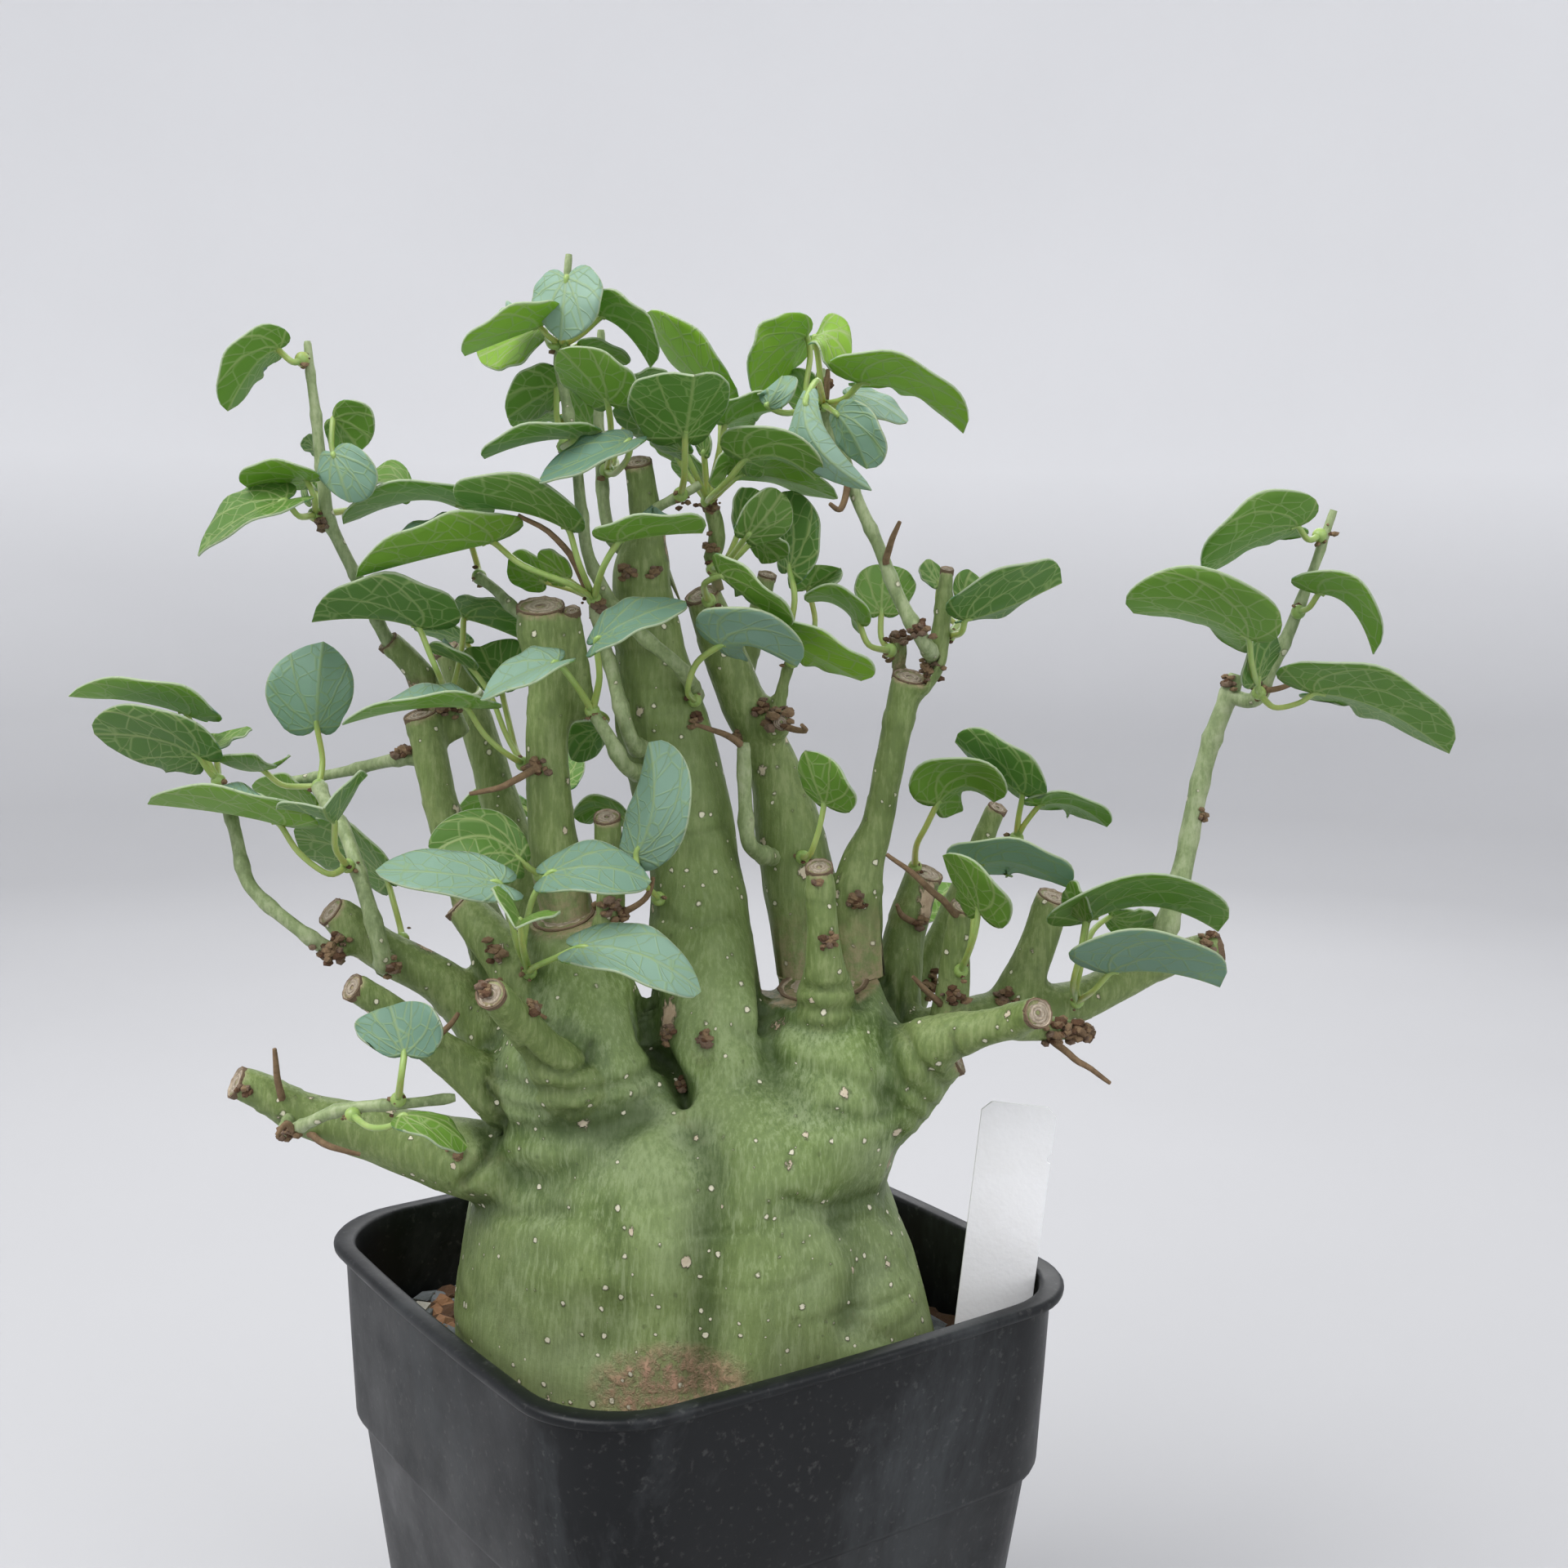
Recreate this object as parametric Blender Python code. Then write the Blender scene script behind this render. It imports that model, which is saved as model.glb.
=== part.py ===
"""A pruned adenia in a square nursery pot: pot, potting mix, label, caudex, thin shoots and leaves."""

import math

import bmesh
import bpy
from mathutils import Quaternion, Vector
from mathutils.bvhtree import BVHTree

# Driving dimensions, in millimetres. The pot's axis is the Z axis and its base is Z = 0.
MM = 0.001
POT_HEIGHT = 150.0
RIM_HALF = 75.0
RIM_BAND = 4.5
RIM_THICKNESS = 2.6
WALL = 1.4
FLOOR = 2.5
LEDGE_Z = 101.5
LEDGE_STEP = 1.8
BASE_HALF = 57.0
WALL_TOP_HALF = 72.6
LEDGE_HALF = 70.6
CORNER_RATIO = 0.30
SIDE_BOW = 0.035
DRAIN_RADIUS = 6.0
DRAIN_PLACE = 38.0
SOIL_Z = 124.0
GAP = 0.45
LABEL_WIDTH = 19.2
LABEL_LENGTH = 98.0
LABEL_THICKNESS = 0.8
LABEL_POINT = 14.0
LEAF_THICKNESS = 0.7
STALK_RADIUS = 0.8
CUSHION_RADIUS = 1.8

# How finely the grown shapes are worked: ring counts, a voxel in millimetres, the share of faces kept
# when the caudex is thinned out, and the least volume in cubic millimetres that counts as a body.
TRUNK_SIDES = 40
LIMB_SIDES = 20
SHOOT_SIDES = 7
DRAIN_SIDES = 12
VOXEL = 1.5
FACES_KEPT = 0.037
CRUMB = 0.1

# The plant's places are read off the photograph: column, row and millimetres behind the pot's axis.
# These values say from where it was taken, in millimetres and degrees, as the pot's rim shows.
EYE = Vector((-242.6, -387.6, 326.3))
VIEW_TURN = 34.91
VIEW_DOWN = 6.45
VIEW_ROLL = -0.83
FOCAL = 2200.0
CENTRE = 960.0

# The caudex is one grown body: a swollen trunk and its thick, pruned arms.
# The trunk's outline: row, left column, right column, half depth in millimetres.
TRUNK = (
    (1705, 600, 1112, 42), (1680, 575, 1135, 47), (1640, 557, 1147, 50), (1590, 560, 1138, 50),
    (1540, 566, 1124, 50), (1490, 572, 1106, 49), (1450, 578, 1091, 47), (1418, 590, 1083, 45),
    (1380, 604, 1115, 43), (1345, 612, 1140, 40), (1310, 635, 1130, 34), (1275, 690, 1080, 24),
)

# Every limb as seen: column, row, depth behind the axis and half width, from its root to its end.
LIMBS = {
    "left_lobe": ((735, 1440, -8, 100), (715, 1360, -16, 112), (712, 1300, -18, 104), (712, 1240, -17, 84),
                  (702, 1180, -15, 60), (690, 1110, -14, 40)),
    "left_vertical": ((690, 1130, -14, 42), (684, 1083, -15, 37), (674, 1000, -16, 29), (670, 907, -16, 27),
                      (675, 828, -16, 29), (664, 775, -16, 32), (662, 733, -16, 31)),
    "left_side_stub": ((715, 1180, -14, 40), (738, 1120, -16, 28), (745, 1060, -18, 20), (743, 995, -20, 17)),
    "column": ((880, 1430, -8, 105), (882, 1340, -12, 92), (872, 1240, -8, 78), (862, 1150, -4, 66),
               (850, 1050, 0, 56), (832, 960, 2, 58), (812, 880, 2, 58), (797, 800, 0, 43),
               (786, 720, -2, 37), (788, 682, -3, 33), (792, 650, -4, 22), (786, 600, -5, 19),
               (781, 560, -6, 18)),
    "right_lobe": ((985, 1450, -2, 100), (1000, 1370, -8, 116), (1015, 1300, -8, 104), (1012, 1230, -4, 76),
                   (1008, 1190, -2, 58)),
    "right_shoulder": ((1040, 1370, -6, 80), (1100, 1325, -10, 66), (1140, 1295, -12, 48), (1168, 1280, -12, 34)),
    "right_central": ((1005, 1220, 8, 52), (985, 1120, 10, 46), (968, 1030, 10, 44), (950, 950, 10, 33),
                      (930, 900, 9, 30), (906, 850, 8, 29), (882, 785, 6, 27), (859, 722, 4, 22)),
    "right_central_knot": ((935, 900, 8, 24), (954, 886, 0, 17), (957, 884, -4, 11)),
    "right_vertical": ((1035, 1210, 4, 42), (1046, 1120, 2, 36), (1054, 1063, 2, 29), (1074, 1010, 2, 20),
                       (1092, 920, 2, 19), (1108, 850, 2, 21), (1114, 822, 2, 22)),
    "front_right_stub": ((1012, 1250, -16, 48), (1010, 1185, -22, 26), (1007, 1140, -24, 21), (1003, 1056, -26, 18)),
    "dark_stub": ((1092, 1240, 10, 36), (1108, 1143, 14, 26), (1134, 1062, 16, 23)),
    "grey_shoot": ((1160, 1262, -2, 26), (1168, 1200, -3, 21), (1172, 1150, -4, 18), (1180, 1104, -5, 17)),
    "back_right_shoot": ((1110, 1235, 24, 24), (1140, 1170, 28, 17), (1180, 1082, 30, 15), (1222, 985, 30, 13)),
    "long_right_arm": ((1110, 1290, 2, 44), (1182, 1250, 6, 29), (1250, 1238, 9, 28), (1320, 1225, 11, 27),
                       (1372, 1200, 13, 25), (1420, 1178, 14, 22), (1494, 1158, 16, 20)),
    "right_upright": ((1240, 1225, 9, 30), (1262, 1180, 10, 25), (1278, 1135, 11, 23), (1292, 1092, 12, 22)),
    "front_right_arm": ((1110, 1300, -14, 50), (1150, 1275, -20, 34), (1200, 1260, -25, 24), (1240, 1250, -30, 22),
                        (1272, 1238, -38, 20)),
    "front_right_knob": ((1245, 1255, -26, 22), (1290, 1260, -22, 16), (1320, 1262, -20, 12), (1338, 1270, -20, 9)),
    "low_left_arm": ((690, 1440, -12, 60), (610, 1428, -16, 56), (545, 1412, -18, 47), (463, 1388, -20, 36),
                     (377, 1366, -22, 28), (330, 1342, -24, 24), (288, 1322, -26, 21)),
    "left_arm": ((640, 1310, -10, 50), (580, 1240, -10, 34), (537, 1200, -11, 29), (463, 1160, -13, 27),
                 (425, 1130, -14, 25), (404, 1112, -15, 20)),
    "left_arm_knob": ((440, 1150, -15, 18), (412, 1162, -20, 14), (398, 1168, -24, 10)),
    "left_stub": ((640, 1360, -22, 46), (575, 1312, -24, 30), (527, 1278, -27, 24), (463, 1226, -31, 20),
                  (430, 1206, -34, 18)),
    "front_left_stub": ((700, 1330, -34, 50), (668, 1290, -42, 28), (630, 1245, -54, 23), (600, 1213, -64, 20)),
    "left_diagonal": ((670, 1250, -20, 48), (622, 1175, -18, 31), (590, 1135, -14, 28), (560, 1103, -12, 22)),
    "upper_left_arm": ((640, 1220, -8, 42), (590, 1130, -4, 28), (541, 987, 0, 22), (526, 920, 1, 22),
                       (514, 868, 2, 22)),
    "dark_background_arm": ((704, 1290, -4, 50), (676, 1205, 12, 44), (640, 1080, 22, 30), (606, 960, 26, 24), (575, 860, 28, 21),
                            (545, 790, 28, 17)),
    "upper_left_stub": ((560, 905, 8, 20), (538, 858, 6, 19), (515, 825, 4, 18), (474, 782, 2, 15)),
    "inner_stub": ((706, 878, -12, 22), (712, 830, -14, 14), (700, 744, -18, 11)),
    "dead_stub_centre": ((905, 840, 14, 16), (922, 775, 16, 14), (940, 700, 16, 12)),
    "brown_shoot_centre": ((860, 745, 4, 15), (866, 700, 2, 13), (878, 656, 0, 12), (868, 614, -2, 10)),
    "right_centre_shoot": ((950, 895, 6, 12), (957, 848, 6, 9), (968, 808, 6, 8), (980, 766, 6, 7)),
    "top_right_fork": ((1112, 850, 2, 18), (1140, 822, 0, 15), (1150, 786, 0, 14), (1160, 694, 0, 9)),
    "top_right_stub": ((1110, 850, 4, 16), (1102, 812, 6, 12), (1100, 775, 6, 12)),
    "back_arm_left": ((720, 1290, 16, 50), (700, 1200, 44, 36), (690, 1090, 62, 24), (680, 1000, 70, 20)),
    "back_arm_centre": ((890, 1320, 20, 56), (880, 1230, 48, 34), (870, 1140, 66, 26), (858, 1060, 74, 22)),
    "back_arm_right": ((1050, 1310, 14, 50), (1070, 1260, 42, 34), (1085, 1205, 62, 24), (1094, 1160, 74, 19)),
    "back_arm_low": ((930, 1390, 24, 50), (925, 1350, 54, 30), (915, 1310, 76, 20)),
}

# Thin shoots, each a piece of its own: what carries it, then its places from the carrier to its tip.
SHOOTS = {
    "shoot_upper_left": ("caudex", ((478, 792, 2, 9), (462, 758, 0, 8), (438, 710, -2, 8), (414, 660, -4, 8),
                         (401, 632, -5, 9), (394, 580, -6, 8), (387, 515, -7, 7), (380, 460, -8, 6),
                         (376, 417, -8, 5))),
    "shoot_far_left": ("caudex", ((400, 1165, -20, 10), (370, 1140, -24, 9), (320, 1098, -22, 9),
                       (300, 1068, -20, 9), (286, 1012, -16, 8), (270, 962, -12, 7))),
    "shoot_left": ("caudex", ((474, 1200, -13, 14), (466, 1170, -22, 12), (450, 1105, -20, 10), (425, 1020, -12, 9),
                   (400, 985, -6, 9), (390, 962, -2, 9))),
    "shoot_left_side": ("caudex", ((528, 930, 2, 10), (488, 930, 4, 9), (420, 946, 12, 7), (352, 956, 16, 6))),
    "shoot_middle": ("caudex", ((800, 930, -2, 12), (772, 905, -17, 10), (752, 830, -14, 9), (738, 780, -13, 8),
                     (728, 738, -16, 8))),
    "shoot_middle_short": ("caudex", ((800, 960, -2, 10), (764, 938, -20, 10), (745, 905, -22, 9),
                           (727, 875, -20, 8))),
    "shoot_crown": ("caudex", ((860, 850, 2, 10), (835, 822, -17, 9), (790, 780, -16, 9), (748, 736, -10, 9),
                    (720, 684, -12, 8), (712, 630, -12, 8), (706, 570, -12, 7), (696, 505, -12, 7),
                    (685, 445, -12, 6), (690, 380, -10, 5), (697, 314, -8, 5))),
    "shoot_crown_second": ("caudex", ((782, 700, 0, 9), (748, 655, -2, 8), (738, 590, 0, 8), (734, 520, 2, 7),
                           (736, 460, 2, 6), (737, 405, 2, 5))),
    "shoot_crown_side": ("caudex", ((788, 636, -5, 7), (820, 614, -9, 6), (846, 600, -10, 6), (858, 592, -10, 6))),
    "shoot_front_green": ("caudex", ((958, 1056, 10, 11), (932, 1046, -3, 11), (917, 1030, -8, 10),
                          (913, 983, -9, 9), (912, 908, -10, 9))),
    "shoot_upper_right": ("caudex", ((1140, 806, 0, 10), (1129, 783, -10, 10), (1103, 735, -8, 9),
                          (1075, 665, -6, 8), (1049, 605, -4, 8), (1030, 545, -2, 8), (1010, 503, 0, 9),
                          (1006, 452, 1, 6))),
    "shoot_right_long": ("caudex", ((1420, 1180, 14, 14), (1428, 1134, 15, 15), (1450, 1057, 16, 13),
                         (1474, 943, 18, 12), (1499, 863, 19, 12), (1513, 826, 19, 11))),
    "shoot_right_young": ("shoot_right_long", ((1505, 856, 19, 9), (1536, 856, 14, 10), (1556, 820, 12, 9),
                          (1580, 770, 10, 8), (1608, 694, 9, 6), (1633, 623, 8, 5))),
    "shoot_low_left": ("caudex", ((352, 1356, -22, 8), (352, 1385, -34, 8), (380, 1375, -44, 8),
                       (420, 1360, -46, 8), (490, 1352, -46, 7), (556, 1345, -44, 6))),
    "shoot_right_twig": ("caudex", ((1182, 1080, 30, 6), (1212, 1062, 16, 6), (1236, 1042, 6, 6),
                         (1243, 1022, 2, 6))),
    "shoot_left_twig": ("caudex", ((655, 760, -16, 8), (632, 750, -12, 8), (606, 724, -6, 7), (582, 706, -4, 7))),
}

# Leaf clusters, each with its carrier and the cushion that its stalks rise from.
# A leaf: joint, middle and tip of the midrib, the two widest edge points, then its stalk's bends.
CLUSTERS = {
    "leaf_upper_left": ("shoot_upper_left", (378, 440, -8), (
        ((340, 428, -10), (310, 448, -12), (278, 503, -10), (289, 416, -20), (322, 455, 2), ((358, 443, -12),)),
    )),
    "leaves_upper_left_middle": ("shoot_upper_left", (394, 572, -6), (
        ((408, 513, 8), (425, 530, 9), (441, 553, 10), (450, 498, 4), (405, 550, 14),
         ((406, 545, 3), (410, 562, -4))),
        ((408, 556, -17), (418, 585, -19), (428, 615, -18), (391, 583, -15), (459, 572, -21), ((409, 566, -11),)),
        ((388, 551, 3), (380, 541, 4), (371, 537, 4), (385, 534, -1), (378, 553, 9),
         ((398, 556, 4), (410, 568, -1))),
    )),
    "leaves_upper_left_low": ("shoot_upper_left", (399, 630, -5), (
        ((375, 588, -12), (340, 585, -13), (300, 594, -10), (338, 564, -22), (347, 603, -2), ((385, 610, -13),)),
        ((350, 613, -18), (293, 637, -20), (243, 681, -17), (298, 597, -8), (325, 633, -30), ((366, 632, -16),)),
        ((382, 588, 6), (374, 600, 8), (380, 613, 8), (368, 596, 12), (389, 600, 4), ((391, 612, 4),)),
        ((500, 600, 16), (478, 588, 18), (453, 598, 20), (470, 567, 24), (485, 607, 10), ((440, 622, 8),)),
    )),
    "leaf_left_high": ("shoot_left_twig", (588, 712, -4), (
        ((569, 622, -4), (500, 612, -8), (420, 641, -5), (527, 588, -20), (522, 606, 8),
         ((574, 655, 2), (584, 690, 2))),
    )),
    "leaves_middle_high": ("shoot_middle", (728, 738, -16), (
        ((604, 664, -22), (522, 683, -25), (436, 706, -22), (550, 630, -36), (530, 632, -10),
         ((640, 692, -26), (700, 716, -26))),
        ((697, 650, -24), (640, 627, -28), (571, 622, -25), (632, 582, -40), (668, 602, -12), ((709, 690, -26),)),
        ((757, 664, -36), (806, 655, -39), (860, 652, -35), (778, 633, -50), (800, 622, -24), ((738, 696, -32),)),
        ((666, 712, -5), (645, 701, -4), (622, 692, -3), (650, 676, -9), (640, 721, 1), ((700, 722, -5),)),
        ((694, 708, -16), (679, 696, -17), (660, 686, -17), (683, 677, -21), (675, 714, -13), ((712, 722, -18),)),
    )),
    "leaves_left_fork": ("caudex", (544, 862, 6), (
        ((513, 769, -14), (455, 757, -16), (382, 761, -13), (506, 708, -27), (460, 730, -3),
         ((526, 800, -16), (538, 828, -14))),
        ((568, 757, 12), (602, 767, 12), (640, 783, 14), (604, 735, 0), (606, 762, 24),
         ((566, 790, 9), (558, 830, 2))),
        ((570, 786, 42), (540, 775, 40), (508, 771, 40), (545, 762, 34), (548, 786, 48),
         ((588, 815, 38), (586, 848, 12), (562, 856, 0))),
    )),
    "leaves_left_inner": ("caudex", (660, 950, -16), (
        ((571, 866, -26), (500, 868, -30), (419, 887, -27), (543, 849, -40), (540, 836, -16),
         ((592, 898, -26), (616, 920, -24))),
        ((577, 818, -8), (552, 806, -9), (533, 800, -8), (556, 793, -17), (545, 784, 0),
         ((600, 850, -8), (620, 900, -10))),
        ((614, 846, 6), (600, 818, 8), (588, 792, 10), (569, 818, 2), (643, 795, 12),
         ((622, 880, 0), (632, 920, -6))),
    )),
    "leaves_middle": ("shoot_middle_short", (727, 873, -20), (
        ((683, 812, -34), (638, 828, -38), (591, 855, -38), (648, 795, -28), (655, 833, -48), ((706, 840, -30),)),
        ((730, 786, -36), (776, 758, -39), (840, 737, -37), (751, 741, -31), (772, 778, -47), ((734, 830, -28),)),
        ((735, 892, 6), (716, 905, 8), (699, 930, 8), (705, 884, 2), (738, 915, 14), ((743, 880, -8),)),
    )),
    "leaves_far_left": ("shoot_far_left", (268, 958, -12), (
        ((229, 875, -12), (165, 858, -12), (84, 852, -9), (212, 838, -24), (203, 860, 0), ((243, 910, -10),)),
        ((243, 926, -16), (190, 904, -18), (116, 898, -14), (203, 869, -26), (203, 944, -10), ((256, 945, -14),)),
        ((264, 914, -5), (282, 902, -7), (303, 890, -8), (253, 903, 3), (285, 907, -16), ((266, 935, -8),)),
    )),
    "leaves_left_top": ("shoot_left", (393, 968, -2), (
        ((322, 943, 0), (295, 942, -7), (264, 929, -14), (322, 930, -14), (352, 930, 10),
         ((345, 961, 2), (375, 963, 0))),
        ((388, 890, 2), (390, 838, 0), (396, 786, 4), (325, 845, 0), (433, 845, 5), ((395, 930, 3),)),
        ((386, 990, 14), (350, 974, 15), (313, 956, 14), (356, 951, 8), (350, 990, 24), ((396, 983, 6),)),
    )),
    "leaves_left_middle": ("shoot_left", (434, 1062, -16), (
        ((343, 1010, -26), (275, 995, -28), (181, 984, -23), (310, 970, -40), (300, 962, -15),
         ((366, 1044, -26), (402, 1070, -25))),
        ((410, 1008, -36), (402, 1003, -44), (396, 990, -52), (338, 988, -38), (448, 945, -34),
         ((411, 1040, -30),)),
    )),
    "leaf_left_back": ("caudex", (492, 1176, -12), (
        ((474, 1078, 2), (425, 1040, 4), (362, 1026, 6), (432, 1011, -5), (418, 1066, 16),
         ((482, 1105, -2), (490, 1135, -4))),
    )),
    "leaf_low_left": ("shoot_low_left", (488, 1352, -46), (
        ((495, 1290, -54), (487, 1262, -52), (478, 1232, -48), (434, 1262, -50), (540, 1252, -56),
         ((491, 1320, -56),)),
    )),
    "leaves_low_left_trailing": ("shoot_low_left", (430, 1359, -46), (
        ((492, 1366, -60), (535, 1374, -60), (572, 1404, -58), (547, 1368, -54), (526, 1396, -67),
         ((478, 1379, -60), (452, 1380, -56))),
    )),
    "leaves_front": ("caudex", (650, 1205, -15), (
        ((612, 1082, -48), (540, 1070, -50), (460, 1067, -48), (560, 1041, -40), (565, 1100, -58),
         ((622, 1110, -46), (634, 1160, -40))),
        ((672, 1070, -44), (735, 1062, -47), (797, 1080, -46), (715, 1031, -38), (715, 1092, -55),
         ((651, 1104, -42), (641, 1160, -38))),
        ((637, 1128, -60), (633, 1134, -67), (631, 1137, -75), (602, 1086, -62), (686, 1118, -66),
         ((640, 1160, -50),)),
        ((709, 1160, -52), (786, 1170, -58), (858, 1215, -58), (775, 1130, -49), (755, 1192, -66),
         ((680, 1173, -46), (655, 1184, -42))),
    )),
    "leaf_front_dark": ("caudex", (682, 1075, -15), (
        ((636, 1052, -28), (590, 1024, -30), (530, 1045, -32), (590, 990, -28), (600, 1058, -34),
         ((650, 1064, -26),)),
    )),
    "leaf_centre_oval": ("caudex", (820, 1110, -2), (
        ((779, 1047, -34), (800, 985, -37), (795, 909, -33), (766, 998, -28), (846, 995, -40),
         ((784, 1075, -32),)),
    )),
    "leaf_centre_back": ("caudex", (812, 1020, 1), (
        ((765, 1001, 14), (735, 987, 15), (702, 1000, 15), (740, 974, 9), (735, 1002, 23), ((776, 1012, 10),)),
    )),
    "leaves_crown": ("shoot_crown", (685, 425, -12), (
        ((694, 341, -22), (690, 378, -24), (687, 417, -23), (652, 362, -18), (738, 362, -27),
         ((693, 385, -17), (689, 410, -18))),
        ((660, 400, -18), (612, 418, -20), (569, 435, -17), (632, 374, -32), (620, 372, -6), ((672, 412, -18),)),
        ((661, 402, -5), (622, 421, -2), (586, 438, 0), (620, 401, 4), (632, 447, -10),
         ((668, 412, -8), (675, 424, -16))),
        ((736, 388, -16), (768, 408, -16), (797, 450, -14), (773, 368, -26), (768, 402, -2), ((712, 409, -15),)),
        ((714, 426, -9), (740, 431, -10), (768, 446, -9), (743, 419, -15), (736, 445, -5),
         ((704, 424, -10), (695, 428, -16))),
    )),
    "leaves_crown_middle": ("shoot_crown", (703, 548, -12), (
        ((681, 475, -3), (655, 488, -3), (621, 511, -2), (648, 449, -10), (671, 505, 4),
         ((682, 512, -6), (689, 540, -12))),
        ((690, 512, 10), (660, 503, 11), (622, 513, 11), (660, 494, 3), (660, 517, 19),
         ((688, 535, 0), (687, 545, -9))),
        ((708, 537, -25), (652, 541, -27), (593, 561, -23), (668, 517, -39), (660, 522, -16),
         ((700, 541, -24), (690, 547, -17))),
    )),
    "leaves_crown_second": ("shoot_crown_second", (738, 580, 0), (
        ((744, 493, -28), (716, 458, -34), (685, 428, -38), (772, 456, -38), (691, 470, -24),
         ((748, 525, -22), (746, 560, -12))),
        ((728, 530, 10), (712, 502, 11), (694, 470, 11), (733, 488, 4), (700, 514, 17),
         ((744, 550, 10), (756, 570, 4))),
        ((772, 490, 6), (791, 470, 5), (820, 459, 4), (776, 459, -3), (812, 485, 11),
         ((766, 520, 4), (752, 560, 4))),
        ((772, 540, -34), (725, 560, -38), (661, 588, -36), (718, 534, -30), (735, 568, -46),
         ((768, 562, -28), (752, 580, -14))),
    )),
    "leaf_crown_big": ("shoot_crown_side", (834, 608, -10), (
        ((839, 535, -30), (846, 491, -40), (850, 460, -52), (768, 490, -38), (893, 487, -38), ((838, 582, -24),)),
    )),
    "leaves_crown_right": ("caudex", (868, 618, -2), (
        ((880, 486, 16), (835, 440, 14), (790, 384, 14), (868, 420, 4), (841, 463, 25),
         ((882, 540, 14), (872, 595, 6))),
        ((838, 552, -12), (795, 526, -13), (752, 508, -13), (800, 503, -20), (800, 544, -4), ((852, 582, -10),)),
        ((830, 562, 2), (815, 550, 3), (800, 537, 4), (824, 541, -1), (806, 553, 7), ((848, 590, 1),)),
        ((862, 556, -8), (860, 538, -8), (852, 520, -6), (847, 540, -5), (869, 533, -11), ((865, 590, -4),)),
        ((862, 584, 10), (845, 575, 11), (822, 566, 12), (848, 558, 5), (845, 590, 17), ((868, 600, 4),)),
        ((911, 564, -30), (955, 559, -36), (999, 588, -34), (927, 520, -44), (934, 576, -24),
         ((890, 590, -26), (871, 608, -16))),
        ((902, 574, -16), (890, 570, -16), (868, 590, -18), (893, 548, -22), (880, 593, -12), ((884, 600, -10),)),
        ((905, 582, 0), (955, 585, 2), (1026, 610, 4), (945, 560, -9), (950, 594, 12), ((882, 602, -2),)),
        ((888, 520, -4), (920, 506, -8), (957, 501, -8), (905, 485, -16), (925, 517, 4), ((878, 565, -4),)),
    )),
    "leaves_right_round": ("caudex", (872, 696, 2), (
        ((914, 657, -28), (937, 632, -30), (957, 603, -30), (915, 617, -34), (963, 651, -26), ((890, 688, -16),)),
        ((923, 661, -12), (940, 669, -10), (955, 685, -8), (959, 661, -14), (928, 684, -5), ((893, 690, -9),)),
        ((905, 650, 8), (905, 625, 9), (912, 597, 10), (897, 622, 5), (932, 615, 13), ((890, 684, 2),)),
    )),
    "leaf_right_inner": ("caudex", (868, 740, 4), (
        ((882, 705, -38), (918, 733, -42), (961, 770, -41), (922, 704, -52), (903, 728, -28),
         ((862, 716, -28),)),
    )),
    "leaf_right_pale": ("caudex", (848, 862, 0), (
        ((881, 791, -36), (925, 790, -42), (976, 816, -38), (896, 742, -48), (907, 802, -26),
         ((853, 812, -30), (842, 845, -24))),
    )),
    "leaves_right_centre": ("caudex", (968, 812, 6), (
        ((967, 697, 2), (972, 650, 4), (960, 602, 8), (1005, 660, -2), (944, 642, 12),
         ((973, 735, -4), (964, 790, -3))),
        ((990, 722, 12), (1008, 709, 12), (1030, 696, 12), (970, 700, 10), (1016, 720, 4),
         ((998, 760, 10), (990, 792, 1))),
        ((945, 775, -28), (1000, 803, -32), (1055, 833, -30), (1016, 779, -43), (985, 812, -20),
         ((955, 790, -16), (966, 798, -8))),
    )),
    "leaves_upper_right": ("shoot_upper_right", (1009, 498, 0), (
        ((988, 412, 6), (955, 441, 6), (924, 488, 5), (935, 396, -8), (967, 460, 16),
         ((992, 436, 4), (987, 475, 0), (991, 492, -6))),
        ((940, 497, -18), (950, 480, -20), (958, 461, -18), (927, 480, -15), (974, 478, -22), ((965, 506, -14),)),
        ((999, 503, 16), (985, 480, 17), (965, 456, 17), (999, 462, 11), (962, 490, 23),
         ((988, 506, 10), (986, 503, -2))),
        ((997, 414, -8), (1020, 414, -12), (1041, 446, -14), (1012, 389, -2), (1005, 430, -20), ((1002, 440, -6),)),
        ((1054, 469, -14), (1120, 483, -16), (1180, 530, -12), (1092, 433, -30), (1098, 478, -1), ((1034, 488, -11),)),
        ((1024, 506, -20), (1045, 535, -24), (1062, 574, -24), (1075, 515, -28), (1027, 546, -18), ((1018, 502, -16),)),
        ((987, 489, -36), (1000, 546, -42), (1067, 600, -38), (963, 533, -30), (1012, 528, -40), ((1001, 466, -24),)),
        ((1042, 484, 12), (1072, 492, 13), (1110, 518, 13), (1078, 480, 21), (1063, 506, 6),
         ((1032, 492, 7), (1026, 498, -4))),
    )),
    "leaves_right_stub": ("caudex", (1100, 800, 6), (
        ((1052, 763, -6), (1024, 739, -8), (990, 737, -8), (1036, 721, -18), (1040, 752, 3), ((1064, 790, -6),)),
        ((1079, 750, 10), (1080, 722, 13), (1083, 692, 16), (1047, 718, 9), (1121, 720, 15), ((1079, 780, 7),)),
    )),
    "leaves_right_tip": ("caudex", (1152, 782, 0), (
        ((1182, 760, -8), (1236, 742, -10), (1300, 713, -8), (1225, 699, -24), (1222, 755, 2), ((1177, 775, -5),)),
        ((1185, 738, 14), (1182, 718, 15), (1190, 700, 16), (1167, 716, 16), (1205, 716, 13), ((1176, 758, 12),)),
        ((1150, 716, 16), (1140, 702, 17), (1131, 688, 17), (1129, 708, 14), (1151, 696, 20),
         ((1150, 745, 16), (1174, 768, 12))),
    )),
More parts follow.
